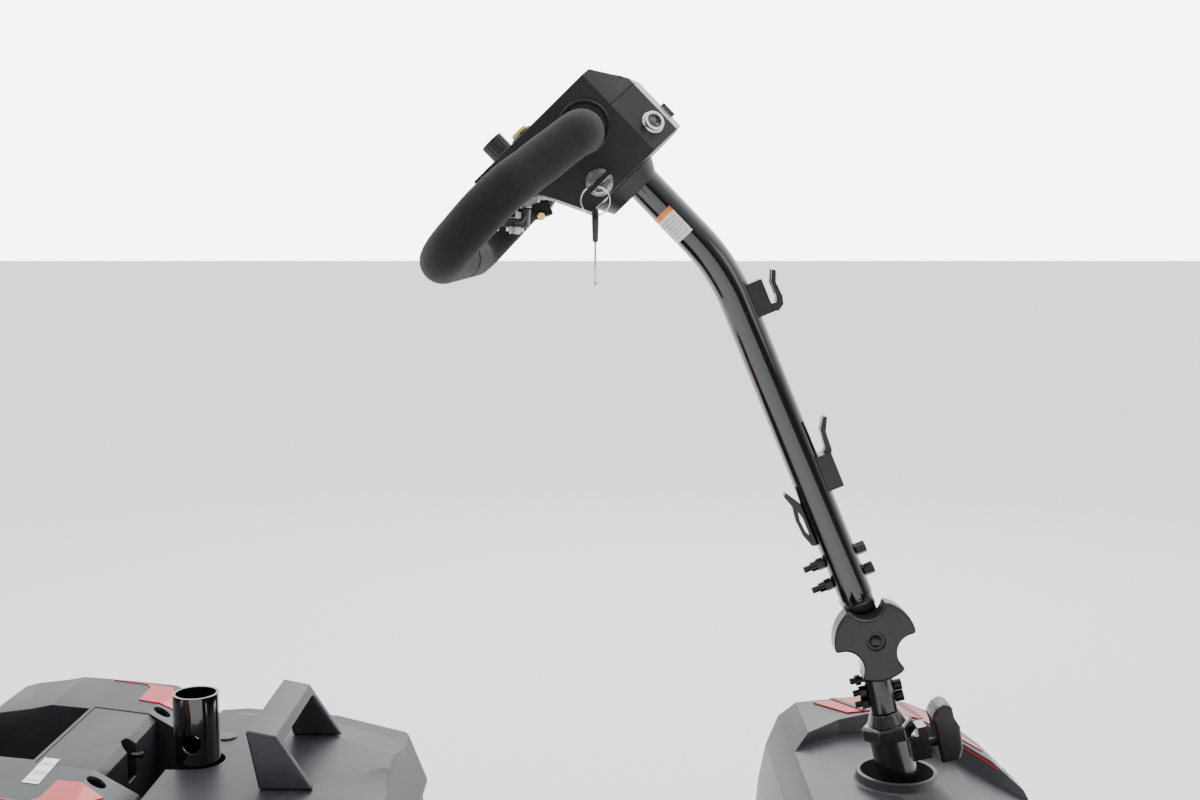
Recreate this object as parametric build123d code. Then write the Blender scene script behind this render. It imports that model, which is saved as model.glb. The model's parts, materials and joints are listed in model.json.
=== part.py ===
from build123d import *

import math
import os

# Four-wheel travel mobility scooter, seat lifted off, in millimetres.
# +X is forward, +Y is the rider's left, +Z is up, and the origin is on the ground in the middle
# of the scooter's length and width.  Every sub-part is written to parts/NODE.step.

# ---------------------------------------------------------------- driving dimensions
# running gear
FRONT_TYRE_R = 89.0
FRONT_TYRE_W = 48.0
REAR_TYRE_R = 102.0
REAR_TYRE_W = 58.0
REAR_AXLE_X = -385.0
FRONT_WHEEL_Y = 216.0
REAR_WHEEL_Y = 219.0
TYRE_SHOULDER = 9.0
RIM_LIP = 22.0
AXLE_R = 6.0
RUN_CLEAR = 0.1
GAP = 0.3
JOINT_GAP = 0.6

# steering column and tiller
PIVOT_X = 343.5
PIVOT_Z = 398.0
STEER_TILT = 12.7
TILLER_LEAN = 22.5
TILLER_OFFSET = 2.0
HEAD_LEAN = 44.2
TILLER_LOWER = 362.5
TILLER_UPPER = 102.8
TILLER_BEND_R = 190.0
TILLER_OD = 31.8
TILLER_WALL = 2.0
TUBE_FOOT = 34.0
TILLER_BOLT_Z = (53.0, 74.0)
BOLT_R = 3.0
STEM_R = 9.5
STEM_TOP = -50.0
STEM_BOLT_Z = (-58.0, -69.0)
STEER_LIMIT = 40.0
TONGUE_R = 19.0
TONGUE_HALF = 11.4
EAR_Y0, EAR_Y1 = 12.0, 18.0
PIVOT_BOLT_R = 5.0
HEAD_TUBE_OD = 38.1
HEAD_TUBE_WALL = 3.0
HEAD_TUBE_TOP = -106.0
KINGPIN_Y = 166.0
KINGPIN_R = 5.0
KNUCKLE_ARM = 50.0
PITMAN_Y = 9.5
BEAM_DROP = 303.0
BEAM_H = 30.0
BEAM_W = 40.0
BOSS_H = 38.0
BOSS_R = 14.0
TIE_PIN_R = 3.0
LOCK_X0, LOCK_X1 = 25.5, 34.0
LOCK_Z = -120.0
LOCK_TRAVEL = 6.0
LOCK_PIN_R = 2.5
LOCK_GUIDE_R = 4.0
LOCK_DEPTH = 6.5
KNOB_R = 37.4
KNOB_Y0, KNOB_Y1 = -45.0, -24.0

# handlebar head
HEAD_HALF_W = 75.0
SHELL_WALL = 3.0
SEAM_W = 67.0
BAR_OD = 25.4
BAR_W = 66.0
BAR_U = -12.0
BAR_REAR = -166.0
BAR_HALF_W = 189.0
FOAM_OD = 37.0
FOAM_FROM, FOAM_TO = 0.098, 0.9985
KEY_U, KEY_W = -30.0, 27.0
KEY_TURN = 45.0
KEY_R = 3.2
BARREL_R = 9.0
BOW_OUT = 22.0
BOW_T = 4.0
EYE_R = 5.0
RING_R = 12.0
RING_WIRE = 0.8
LAMP_U, LAMP_W = 36.5, 32.0
LAMP_R = 10.0
DIAL_U = -72.0
DIAL_R = 11.0
SPINDLE_R = 5.0
BUTTON_U, BUTTON_Y = -49.0, 40.0
BUTTON_R = 8.0
GAUGE = (-24.0, 4.0, 34.0)
UNDER_FRONT, UNDER_REAR = (-71.0, 52.0), (-108.0, 93.0)
THROTTLE_PIN_R = 5.0
HEAD_SIDE = [(56, 14), (56, 66), (30, 102), (-106, 102), (-108, 93), (-71, 52), (-52, 14)]
HEAD_PLAN = [(-112, HEAD_HALF_W), (22, HEAD_HALF_W), (50, 55), (56, 34)]

# chassis
RAIL_Y = 62.0
RAIL_W = 30.0
RAIL_Z0 = 84.0
RAIL_Z1 = 114.0
DECK_Z = 118.0
PAN_REAR = -62.0
PAN_RIM = 130.0
DOCK_X = -66.0
REAR_RAIL_Z0 = 84.0
REAR_RAIL_Z1 = 109.0
SEAT_TUBE_X = -283.0
SEAT_TUBE_OD = 42.4
SEAT_TUBE_WALL = 2.6
SEAT_TUBE_TOP = 337.0
SEAT_PIN_Z = 294.0
SEAT_PIN_R = 9.0
AXLE_TUBE_R = 21.0
HALF_SHAFT_R = 10.0
GEAR_X = REAR_AXLE_X - 56.0
GEAR_Z = REAR_TYRE_R + 14.0
CASTER_X = -520.0
CASTER_Z = 60.0
CASTER_R = 26.0
CASTER_PIN_R = 4.0
ANTI_TIP_Y = 118.0
TAIL_X0 = -486.0
TAIL_Z0, TAIL_Z1 = 148.0, 172.0

# battery pack
BATTERY_FRONT = -72.0
BATTERY_REAR = -306.0
BATTERY_HALF_W = 182.0
BATTERY_FLOOR = 109.4
BATTERY_SPLIT = 236.0
BATTERY_RIM = 262.0
BATTERY_TOP = 272.0
BATTERY_WALL = 3.0
HANDLE_HALF_W = 77.0
BATTERY_PLAN = [(BATTERY_REAR, 176), (-280, 182), (-180, 158), (-101, 106), (BATTERY_FRONT, 35)]

# shrouds
HOOD_HALF_W = 206.0
COLLAR_TOP = 262.0
COLLAR_R = 38.0
SHROUD_WALL = 3.0
WELL_FLOOR = 239.0
WELL_REAR = -530.0
PORT_Y = 95.0
PORT_R = 8.0
HOOD_SIDE = [(252, 106), (259, 153), (264, 190), (272, 222), (287, 247), (305, 265), (373, 273),
             (422, 265), (455, 250), (500, 222), (535, 190), (556, 150), (556, 106)]
HOOD_PLAN = [(244, 110), (262, 172), (292, HOOD_HALF_W), (470, HOOD_HALF_W), (530, 160), (558, 80)]
HOOD_CROSS = [(HOOD_HALF_W, 90), (HOOD_HALF_W, 236), (188, 274), (120, 276)]
SHROUD_SIDE = [(-309.5, 150), (-309.5, 262), (-314, 268), (-352, 291), (-405, 298), (-446, 302), (-466, 298),
               (-506, 293), (-530, 276), (-547, 240), (-553, 150)]
SHROUD_PLAN = [(-309, 172), (-340, 184), (-470, 182), (-528, 146), (-552, 112), (-554, 60)]
SHROUD_CROSS = [(184, 120), (184, 262), (162, 304)]
WELL_Y = 71.0
BRIDGE_REAR, BRIDGE_FRONT, BRIDGE_Y = -405.0, -345.0, 76.0

SIN, COS = math.sin, math.cos
rad = math.radians


def leaning_plane(x, z, lean):
    """A plane at (x, 0, z) whose normal leans back from vertical by lean degrees."""
    s, c = SIN(rad(lean)), COS(rad(lean))
    return Plane(origin=(x, 0, z), x_dir=(c, 0, s), z_dir=(-s, 0, c))


STEER = leaning_plane(PIVOT_X, PIVOT_Z, STEER_TILT)
TILLER_BASE = (PIVOT_X + TILLER_OFFSET * COS(rad(TILLER_LEAN)),
               PIVOT_Z + TILLER_OFFSET * SIN(rad(TILLER_LEAN)))
PIVOT = leaning_plane(PIVOT_X, PIVOT_Z, TILLER_LEAN)
LOWER = leaning_plane(*TILLER_BASE, TILLER_LEAN)
BEND_X = TILLER_BASE[0] - TILLER_LOWER * SIN(rad(TILLER_LEAN))
BEND_Z = TILLER_BASE[1] + TILLER_LOWER * COS(rad(TILLER_LEAN))
HEAD_X = BEND_X - TILLER_UPPER * SIN(rad(HEAD_LEAN))
HEAD_Z = BEND_Z + TILLER_UPPER * COS(rad(HEAD_LEAN))
HEAD = leaning_plane(HEAD_X, HEAD_Z, HEAD_LEAN)
# the wheel axle crosses the kingpin axis at the height of the front wheel's centre
AXLE_DROP = (PIVOT_Z - FRONT_TYRE_R) / COS(rad(STEER_TILT))
FRONT_AXLE_X = PIVOT_X + AXLE_DROP * SIN(rad(STEER_TILT))
# the column passes the hood's collar here
COLLAR_X = PIVOT_X + (PIVOT_Z - COLLAR_TOP) * math.tan(rad(STEER_TILT))


# ---------------------------------------------------------------- shape helpers
def block(x0, x1, y0, y1, z0, z1):
    """A box between two corners."""
    size = (x1 - x0, y1 - y0, z1 - z0)
    return Pos((x0 + x1) / 2, (y0 + y1) / 2, (z0 + z1) / 2) * Box(*size)


def rod(radius, start, end):
    """A solid cylinder between two points."""
    a, b = Vector(*start), Vector(*end)
    plane = Plane(origin=a, z_dir=b - a)
    return plane * Pos(0, 0, (b - a).length / 2) * Cylinder(radius, (b - a).length)


def pipe(outer, inner, start, end):
    """A tube between two points, open at both ends."""
    a, b = Vector(*start), Vector(*end)
    more = (b - a).normalized() * 1.0
    return rod(outer, start, end) - rod(inner, tuple(a - more), tuple(b + more))


def side_prism(points, half_width):
    """A profile in X and Z, extruded from -half_width to +half_width in Y."""
    face = Plane.XZ * make_face(Polyline(*points, close=True))
    return extrude(face, half_width, both=True)


def plan_prism(points, z0, z1):
    """A profile in X and Y, extruded from z0 to z1."""
    face = Plane.XY.offset(z0) * make_face(Polyline(*points, close=True))
    return extrude(face, z1 - z0)


def mirrored(points):
    """The points of one half of an outline followed by their mirror images in Y."""
    return list(points) + [(x, -y) for x, y in reversed(points)]


def three_view_form(side, plan, cross, shrink):
    """The solid common to a side, a plan and a cross profile, each drawn in by shrink."""
    faces = [Plane.XZ * make_face(Polyline(*side, close=True)),
             make_face(Polyline(*mirrored(plan), close=True)),
             Plane.YZ * make_face(Polyline(*cross, *[(-y, z) for y, z in reversed(cross)], close=True))]
    if shrink:
        faces = [offset(face, -shrink, kind=Kind.INTERSECTION) for face in faces]
    bodies = [extrude(face, 800, both=True) for face in faces]
    return bodies[0] & bodies[1] & bodies[2]


def hexagon(across, start, end):
    """A hexagonal bar with the given size across flats."""
    a, b = Vector(*start), Vector(*end)
    plane = Plane(origin=a, z_dir=b - a)
    face = plane * RegularPolygon(across / 2, 6, major_radius=False)
    return extrude(face, (b - a).length)


def swap_side(shape):
    """The same shape on the other side of the scooter."""
    return mirror(shape, about=Plane.XZ)


# ---------------------------------------------------------------- wheels
def wheel_centre(front, side):
    """Centre of one wheel; side is +1 on the left."""
    if front:
        return (FRONT_AXLE_X, side * FRONT_WHEEL_Y, FRONT_TYRE_R)
    return (REAR_AXLE_X, side * REAR_WHEEL_Y, REAR_TYRE_R)


def ring_y(centre, outer, inner, width):
    """A ring about a lateral axis."""
    x, y, z = centre
    return pipe(outer, inner, (x, y - width / 2, z), (x, y + width / 2, z))


def tyre(centre, radius, width):
    """A flat-free tyre with rounded shoulders and three tread grooves."""
    body = ring_y(centre, radius, radius - RIM_LIP, width)
    edges = [e for e in body.edges() if e.geom_type == GeomType.CIRCLE and e.radius > radius - 1]
    body = fillet(edges, TYRE_SHOULDER)
    for step in (-1, 0, 1):
        x, y, z = centre
        place = (x, y + step * width / 5, z)
        body -= ring_y(place, radius + 1, radius - 3, 3)
    return body


def rim(centre, radius, width, bore, hub_r):
    """A moulded five-spoke wheel with an outer barrel and a hub."""
    x, y, z = centre
    seat = radius - RIM_LIP - GAP
    body = ring_y(centre, seat, seat - 8, width - 4) + ring_y(centre, hub_r, bore, width)
    for k in range(5):
        spoke = block(hub_r - 2, seat - 5, -7, 7, -8, 8)
        turn = Pos(x, y, z) * Rot(0, 72 * k + 90, 0) * spoke.rotate(Axis.X, 90)
        body += turn
    return body - rod(bore, (x, y - width, z), (x, y + width, z))


# ---------------------------------------------------------------- front running gear
def kingpin_axis(side, zs):
    """A point on a kingpin axis at local height zs of the steering frame."""
    return STEER.from_local_coords((0, side * KINGPIN_Y, zs))


def knuckle(side):
    """A steering knuckle: C bracket round the boss, arm to the rear and the stub axle."""
    top, low = -BEAM_DROP + BOSS_H / 2, -BEAM_DROP - BOSS_H / 2
    plate, reach = 5.0, BOSS_R + 1.5
    inner = side * (KINGPIN_Y - 12)
    outer = side * (KINGPIN_Y + reach + plate)
    y0, y1 = min(inner, outer), max(inner, outer)
    upper = block(-15, 15, y0, y1, top + JOINT_GAP, top + JOINT_GAP + plate)
    lower = block(-15, 15, y0, y1, low - JOINT_GAP - plate, low - JOINT_GAP)
    web_in = side * (KINGPIN_Y + reach)
    web = block(-15, 15, min(web_in, outer), max(web_in, outer), low - 5, top + 5)
    pin_y = side * (KINGPIN_Y + PITMAN_Y)
    a0, a1 = sorted((side * (KINGPIN_Y - 8), pin_y + side * 8))
    arm = block(-KNUCKLE_ARM - 9, -10, a0, a1, low - JOINT_GAP - plate, low - JOINT_GAP)
    body = upper + lower + web + arm
    pin_hole = Pos(-KNUCKLE_ARM, pin_y, low) * Cylinder(TIE_PIN_R + RUN_CLEAR, 40)
    king_hole = Pos(0, side * KINGPIN_Y, -BEAM_DROP) * Cylinder(KINGPIN_R + RUN_CLEAR, 120)
    body = STEER * (body - pin_hole - king_hole)
    tip = FRONT_WHEEL_Y + FRONT_TYRE_W / 2 + 5
    axle = rod(AXLE_R, (FRONT_AXLE_X, side * (KINGPIN_Y + reach + 1), FRONT_TYRE_R),
               (FRONT_AXLE_X, side * tip, FRONT_TYRE_R))
    return body + axle


def kingpin(side):
    """The kingpin bolt with its head and nut."""
    reach = BOSS_H / 2 + JOINT_GAP + 5
    top, low = -BEAM_DROP + reach, -BEAM_DROP - reach
    y = side * KINGPIN_Y
    shank = Pos(0, y, -BEAM_DROP) * Cylinder(KINGPIN_R, 2 * reach)
    head = extrude(Plane.XY.offset(top) * Pos(0, y) * RegularPolygon(8.5, 6), 6)
    nut = extrude(Plane.XY.offset(low - 6) * Pos(0, y) * RegularPolygon(8.5, 6), 6)
    return STEER * (shank + head + nut)


def tie_rod(side):
    """One tie rod with an eye at each end, pinned from above by the arms."""
    zs = -BEAM_DROP - BOSS_H / 2 - JOINT_GAP - 5 - 7
    y0, y1 = side * PITMAN_Y, side * (KINGPIN_Y + PITMAN_Y)
    bar = rod(4.5, (-KNUCKLE_ARM, y0, zs), (-KNUCKLE_ARM, y1, zs))
    for y in (y0, y1):
        bar += Pos(-KNUCKLE_ARM, y, zs) * Cylinder(8, 12)
        bar += Pos(-KNUCKLE_ARM, y, zs + 10) * Cylinder(TIE_PIN_R, 12)
    return STEER * bar


# ---------------------------------------------------------------- steering column
def steering_stem():
    """The stem shaft with its lock holes and the pitman plate at its foot."""
    foot = -BEAM_DROP - BOSS_H / 2 - JOINT_GAP
    shaft = rod(STEM_R, (0, 0, foot - 10), (0, 0, STEM_TOP))
    plate = block(-KNUCKLE_ARM - 10, 14, -13, 13, foot - 5, foot)
    plate += block(-KNUCKLE_ARM - 10, -KNUCKLE_ARM + 10, -PITMAN_Y - 10, PITMAN_Y + 10, foot - 5, foot)
    for y in (-PITMAN_Y, PITMAN_Y):
        plate -= Pos(-KNUCKLE_ARM, y, foot) * Cylinder(TIE_PIN_R + RUN_CLEAR, 30)
    for z in STEM_BOLT_Z:
        shaft -= Pos(0, 0, z) * Cylinder(BOLT_R + 0.05, 60).rotate(Axis.Y, 90)
    for turn in (-STEER_LIMIT, 0, STEER_LIMIT):
        hole = rod(LOCK_PIN_R + GAP, (STEM_R - LOCK_DEPTH, 0, LOCK_Z), (STEM_R + 5, 0, LOCK_Z))
        shaft -= hole.rotate(Axis.Z, turn)
    return STEER * (shaft + plate)


def headset_bearings():
    """Upper and lower bearing rings pressed between the head tube and the stem."""
    inner = HEAD_TUBE_OD / 2 - HEAD_TUBE_WALL
    low = -BEAM_DROP - BOSS_H / 2 + 2
    rings = []
    for z in (HEAD_TUBE_TOP - 5, low + 5):
        ring = Pos(0, 0, z) * (Cylinder(inner, 8) - Cylinder(STEM_R + RUN_CLEAR, 10))
        rings.append(STEER * ring)
    return Compound(children=rings)


def headset_nut():
    """The hexagonal headset nut and the domed dust cap over it."""
    seat = HEAD_TUBE_TOP + JOINT_GAP
    nut = extrude(Plane.XY.offset(seat) * RegularPolygon(21, 6, major_radius=False), 14)
    nut = chamfer(nut.faces().sort_by(Axis.Z)[-1].edges(), 2)
    nut -= Cylinder(STEM_R + 0.05, 400)
    cap = Pos(0, 0, seat + 14 + 5.5) * Cone(18.5, 14.2, 11)
    cap -= Cylinder(STEM_R + 0.05, 400)
    return Compound(children=[STEER * nut, STEER * cap])


def pivot_base():
    """The sleeve clamped on the stem, and the toothed tongue that the tiller turns on."""
    sleeve = rod(13.2, (0, 0, -79), (0, 0, -42)) - rod(STEM_R + 0.05, (0, 0, -80), (0, 0, STEM_TOP + 0.3))
    neck = block(-13, 13, -TONGUE_HALF, TONGUE_HALF, -44, -8)
    tongue = Cylinder(TONGUE_R, 2 * TONGUE_HALF).rotate(Axis.X, 90)
    body = sleeve + neck + tongue
    body -= Cylinder(PIVOT_BOLT_R + RUN_CLEAR, 60).rotate(Axis.X, 90)
    for z in STEM_BOLT_Z:
        body -= Pos(0, 0, z) * Cylinder(BOLT_R + 0.05, 60).rotate(Axis.Y, 90)
    return STEER * body


def stem_bolts():
    """Two cross bolts with heads and nuts that clamp the sleeve, and a set screw."""
    parts = []
    r = 13.3
    for z in STEM_BOLT_Z:
        shank = rod(BOLT_R, (-r - 12, 0, z), (r, 0, z))
        head = rod(5.2, (r, 0, z), (r + 7, 0, z))
        nut = hexagon(10, (-r, 0, z), (-r - 6, 0, z))
        parts.append(STEER * (shank + head + nut))
    screw = rod(3, (-26, 0, -46), (-r, 0, -46)) + rod(5, (-21, 0, -46), (-16, 0, -46))
    parts.append(STEER * screw)
    return Compound(children=parts)


# ---------------------------------------------------------------- tiller
def tiller_fork():
    """The plug in the foot of the tiller with two ears either side of the tongue."""
    plug_r = TILLER_OD / 2 - TILLER_WALL - 0.1
    plug = rod(plug_r, (0, 0, 28), (0, 0, 118))
    neck = rod(TILLER_OD / 2 - 1.2, (0, 0, 22), (0, 0, TUBE_FOOT - 0.1))
    body = LOWER * (plug + neck)
    ears = block(-14, 14, -EAR_Y1, EAR_Y1, TONGUE_R + 1.5, 30)
    for side in (-1, 1):
        y0, y1 = sorted((side * EAR_Y0, side * EAR_Y1))
        ears += rod(TONGUE_R - 1, (0, y0, 0), (0, y1, 0))
        ears += block(-14, 14, y0, y1, 0, 28)
    body += PIVOT * ears
    body -= PIVOT * Cylinder(PIVOT_BOLT_R + RUN_CLEAR, 80).rotate(Axis.X, 90)
    for z in TILLER_BOLT_Z:
        body -= LOWER * Pos(0, 0, z) * Cylinder(BOLT_R + 0.05, 60).rotate(Axis.Y, 90)
    return body


def tiller_path():
    """Centre line of the tiller tube, from above the pivot to inside the head."""
    start = LOWER.from_local_coords((0, 0, TUBE_FOOT))
    end = HEAD.from_local_coords((0, 0, 30))
    return FilletPolyline(start, (BEND_X, 0, BEND_Z), end, radius=TILLER_BEND_R)


def tiller_tube():
    """The bent tiller tube."""
    path = tiller_path()
    start = Plane(origin=path @ 0, z_dir=path % 0)
    ring = start * (Circle(TILLER_OD / 2) - Circle(TILLER_OD / 2 - TILLER_WALL))
    tube = sweep(ring, path=path)
    for z in TILLER_BOLT_Z:
        tube -= LOWER * Pos(0, 0, z) * Cylinder(BOLT_R + 0.05, 60).rotate(Axis.Y, 90)
    return tube


def tiller_bolts():
    """Two bolts fore and aft through the tiller and its plug, with nuts at the back."""
    r = TILLER_OD / 2
    parts = []
    for z in TILLER_BOLT_Z:
        shank = rod(BOLT_R, (-r - 20, 0, z), (r + 0.2, 0, z))
        head = hexagon(10, (r + 0.2, 0, z), (r + 9, 0, z))
        nut = hexagon(10, (-r - 0.2, 0, z), (-r - 7, 0, z)) + rod(4.6, (-r - 7, 0, z), (-r - 13, 0, z))
        parts.append(LOWER * (shank + head + nut))
    return Compound(children=parts)


def saddle(plane, z0, z1, depth, half_w):
    """A block cut to sit on the front of the tiller tube, reaching depth ahead of its axis."""
    body = block(6, depth, -half_w, half_w, z0, z1)
    return plane * (body - Pos(0, 0, (z0 + z1) / 2) * Cylinder(TILLER_OD / 2 + 0.05, z1 - z0 + 2))


def basket_hooks():
    """The upper forked hook and the lower single hook on the front of the tiller."""
    r = TILLER_OD / 2
    upper = saddle(LOWER, 308, 340, r + 11, 11)
    prong = [(r + 9, 309), (r + 15, 307), (r + 21, 311), (r + 23, 318), (r + 22, 332), (r + 26, 342),
             (r + 23, 344), (r + 18, 334), (r + 18, 320), (r + 16, 315), (r + 9, 316)]
    upper += LOWER * (side_prism(prong, 10) - block(r + 17, r + 40, -4, 4, 322, 360))
    lower = saddle(LOWER, 136, 170, r + 11, 11)
    finger = [(r + 4, 164), (r + 9, 164), (r + 13, 170), (r + 14, 188), (r + 20, 200),
              (r + 17, 202), (r + 10, 191), (r + 8, 174), (r + 4, 170)]
    lower += LOWER * side_prism(finger, 7)
    return Compound(children=[upper, lower])


def bag_hook():
    """The hook for a bag strap on the rider's side of the tiller, with its closed loop."""
    r = TILLER_OD / 2
    outer = [(-r - 0.1, 92), (-r - 5, 94), (-r - 9, 106), (-r - 10, 122), (-r - 8, 134),
             (-r - 12, 146), (-r - 9, 149), (-r - 0.1, 134)]
    hole = [(-r - 3, 102), (-r - 5.5, 108), (-r - 6.5, 120), (-r - 5, 128), (-r - 3, 120)]
    return LOWER * (side_prism(outer, 6) - side_prism(hole, 8))


# ---------------------------------------------------------------- handlebar head
def head_solid(shrink):
    """The head's outer form, drawn in by shrink on every side."""
    side = Plane.XZ * make_face(Polyline(*HEAD_SIDE, close=True))
    plan = make_face(Polyline(*mirrored(HEAD_PLAN), close=True))
    if shrink:
        side = offset(side, -shrink, kind=Kind.INTERSECTION)
        plan = offset(plan, -shrink, kind=Kind.INTERSECTION)
    return extrude(side, 200, both=True) & extrude(plan, 200, both=True)


def bar_bore():
    """The hole across the head for the delta bar, in the head's frame."""
    return Pos(BAR_U, 0, BAR_W) * Cylinder(BAR_OD / 2 + GAP, 200).rotate(Axis.X, 90)


def head_cuts():
    """The holes in the lower shell for the tiller, the bar and the key switch."""
    key = Pos(KEY_U, -HEAD_HALF_W, KEY_W) * Cylinder(BARREL_R + 0.2, 30).rotate(Axis.X, 90)
    return Cylinder(TILLER_OD / 2 + GAP, 90) + bar_bore() + key


def lamp_plane(side):
    """A plane on one of the two front facets of the head, facing outwards."""
    (u0, y0), (u1, y1) = HEAD_PLAN[1], HEAD_PLAN[2]
    share = (LAMP_U - u0) / (u1 - u0)
    normal = (y0 - y1, side * (u1 - u0), 0)
    return Plane(origin=(LAMP_U, side * (y0 + share * (y1 - y0)), LAMP_W), z_dir=normal)


def head_lower_shell():
    """The lower half of the head, hollow, with the tiller socket."""
    shell = head_solid(0) - head_solid(SHELL_WALL)
    shell &= block(-200, 200, -200, 200, 0, SEAM_W)
    socket = Pos(0, 0, 29) * (Cylinder(TILLER_OD / 2 + 5, 28) - Cylinder(TILLER_OD / 2 + 0.05, 60))
    shell = shell - head_cuts() + socket
    for side in (-1, 1):
        shell -= lamp_plane(side) * Cylinder(LAMP_R - 1 + GAP, 16)
    return HEAD * shell


def head_upper_shell():
    """The upper half of the head with the openings of the dash."""
    shell = head_solid(0) - head_solid(SHELL_WALL)
    shell &= block(-200, 200, -200, 200, SEAM_W + 0.4, 200)
    shell -= bar_bore()
    shell -= Pos(DIAL_U, 0, 102) * Cylinder(SPINDLE_R + GAP, 20)
    for side in (-1, 1):
        shell -= Pos(BUTTON_U, side * BUTTON_Y, 102) * Cylinder(BUTTON_R + GAP, 20)
    shell -= block(GAUGE[0], GAUGE[1], -GAUGE[2], GAUGE[2], 95, 110)
    return HEAD * shell


def head_collar():
    """The rounded collar under the head that covers the tiller socket."""
    ring = Pos(-12, 0, 6.5) * Cone(26, 34, 14.5)
    ring -= Cylinder(TILLER_OD / 2 + 0.1, 80)
    return HEAD * ring


def bar_path():
    """Centre line of one half of the delta bar, from the head to the middle of the cross bar."""
    points = [(BAR_U, -40, BAR_W), (BAR_U, -126, BAR_W), (-96, -BAR_HALF_W, BAR_W + 6),
              (BAR_REAR, -BAR_HALF_W, BAR_W + 2), (BAR_REAR, 0, BAR_W + 2)]
    corners = [HEAD.from_local_coords(p) for p in points]
    return FilletPolyline(*corners, radius=(38, 60, 44))


def swept_half(outer, inner, start, end):
    """A tube along the share of the bar's half path from start to end."""
    path = bar_path()
    piece = path.trim(start, end)
    plane = Plane(origin=piece @ 0, z_dir=piece % 0)
    ring = Circle(outer) - Circle(inner) if inner else Circle(outer)
    return sweep(plane * ring, path=piece)


def delta_bar():
    """The delta bar: a closed steel loop from one side of the head to the other."""
    half = swept_half(BAR_OD / 2, BAR_OD / 2 - 2, 0, 1)
    return half + swap_side(half)


def foam_grips():
    """The left and right foam grips on the delta bar."""
    half = swept_half(FOAM_OD / 2, BAR_OD / 2 + 0.05, FOAM_FROM, FOAM_TO)
    return Compound(children=[half, swap_side(half)])


def dash_panel():
    """The gauge window and the bezels of the two push buttons."""
    u0, u1, half = GAUGE
    window = block(u0 + GAP, u1 - GAP, -half + GAP, half - GAP, 99.5, 103.5)
    parts = [HEAD * window]
    for side in (-1, 1):
        ring = Pos(BUTTON_U, side * BUTTON_Y, 104) * (Cylinder(BUTTON_R + 3, 3.9) - Cylinder(BUTTON_R + GAP, 8))
        parts.append(HEAD * ring)
    return Compound(children=parts)


def headlamps():
    """The two lamps, each a bright bezel and a clear lens, and the trim bar between them."""
    parts = []
    for side in (-1, 1):
        barrel = Cylinder(LAMP_R - 1, 13) + Pos(0, 0, 1.6) * Cylinder(LAMP_R, 3)
        barrel -= Pos(0, 0, 3) * Cylinder(LAMP_R - 3.4, 13)
        parts.append(lamp_plane(side) * barrel)
        parts.append(lamp_plane(side) * Pos(0, 0, 0.2) * Cylinder(LAMP_R - 3.5, 3))
    bar = block(56.1, 60, -30, 30, LAMP_W - 7, LAMP_W + 7)
    parts.append(bar)
    return Compound(children=[HEAD * p for p in parts])


def key_plane():
    """A plane on the right side of the head, on the key switch's axis, facing outwards."""
    origin = HEAD.from_local_coords((KEY_U, -HEAD_HALF_W, KEY_W))
    return Plane(origin=origin, x_dir=(1, 0, 0), z_dir=(0, -1, 0))


def key_switch():
    """The ignition barrel with its nut, bored for the key."""
    body = Cylinder(BARREL_R, 26) + Pos(0, 0, 2.3) * Cylinder(BARREL_R + 2.5, 4)
    body -= Pos(0, 0, 8) * Cylinder(KEY_R + 0.1, 30)
    return key_plane() * body


def ignition_key():
    """The key: blade in the barrel, shank and flat moulded bow with an eye."""
    blade = Pos(0, 0, 6) * Cylinder(KEY_R, 20)
    bow = Pos(0, 0, BOW_OUT) * Box(24, BOW_T, 15)
    eye = Pos(-5, 0, BOW_OUT) * Cylinder(EYE_R, 20).rotate(Axis.X, 90)
    plane = key_plane() * Rot(0, 0, KEY_TURN)
    return plane * (blade + bow - eye)


def ring_hang():
    """Where the top of the ring passes through the eye in the key's bow."""
    plane = key_plane() * Rot(0, 0, KEY_TURN)
    return (plane * Pos(-5, 0, BOW_OUT)).position


def key_ring():
    """The split ring, with the spare key that hangs from it."""
    hang = ring_hang()
    plane = Plane(origin=(hang.X, hang.Y, hang.Z - RING_R), x_dir=(1, 0, 0), z_dir=(0, -1, 0))
    return Compound(children=[plane * Torus(RING_R, RING_WIRE), spare_key()])


def spare_key():
    """The spare key: a moulded bow on the ring and its blade below."""
    hang = ring_hang()
    x, y, z = hang.X, hang.Y, hang.Z - 2 * RING_R - 1.3
    bow = block(x - 3, x + 3, y - 10, y + 10, z - 30, z + 5)
    bow = fillet(bow.edges().filter_by(Axis.X), 5)
    bow -= rod(2.4, (x - 8, y, z), (x + 8, y, z))
    blade = block(x - 1.2, x + 1.2, y - 3.4, y + 3.4, z - 62, z - 28)
    return bow + blade


def speed_dial():
    """The ribbed speed dial with its spindle."""
    dial = Pos(DIAL_U, 0, 113.5) * Cylinder(DIAL_R, 20)
    out = DIAL_R + 0.4
    for k in range(18):
        a = rad(20 * k)
        dial -= Pos(DIAL_U + out * COS(a), out * SIN(a), 115) * Cylinder(1.1, 24)
    dial += Pos(DIAL_U, 0, 99) * Cylinder(SPINDLE_R, 14)
    return HEAD * dial


def push_button(side):
    """One push button of the dash."""
    return HEAD * (Pos(BUTTON_U, side * BUTTON_Y, 104.5) * Cylinder(BUTTON_R, 9))


def under_plane():
    """A plane on the slanted underside of the head, with x to the rear and z out of it."""
    a = HEAD.from_local_coords((UNDER_FRONT[0], 0, UNDER_FRONT[1]))
    b = HEAD.from_local_coords((UNDER_REAR[0], 0, UNDER_REAR[1]))
    along = (Vector(*b) - Vector(*a)).normalized()
    middle = (Vector(*a) + Vector(*b)) * 0.5
    return Plane(origin=middle, x_dir=along, z_dir=along.cross(Vector(0, 1, 0)))


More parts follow.
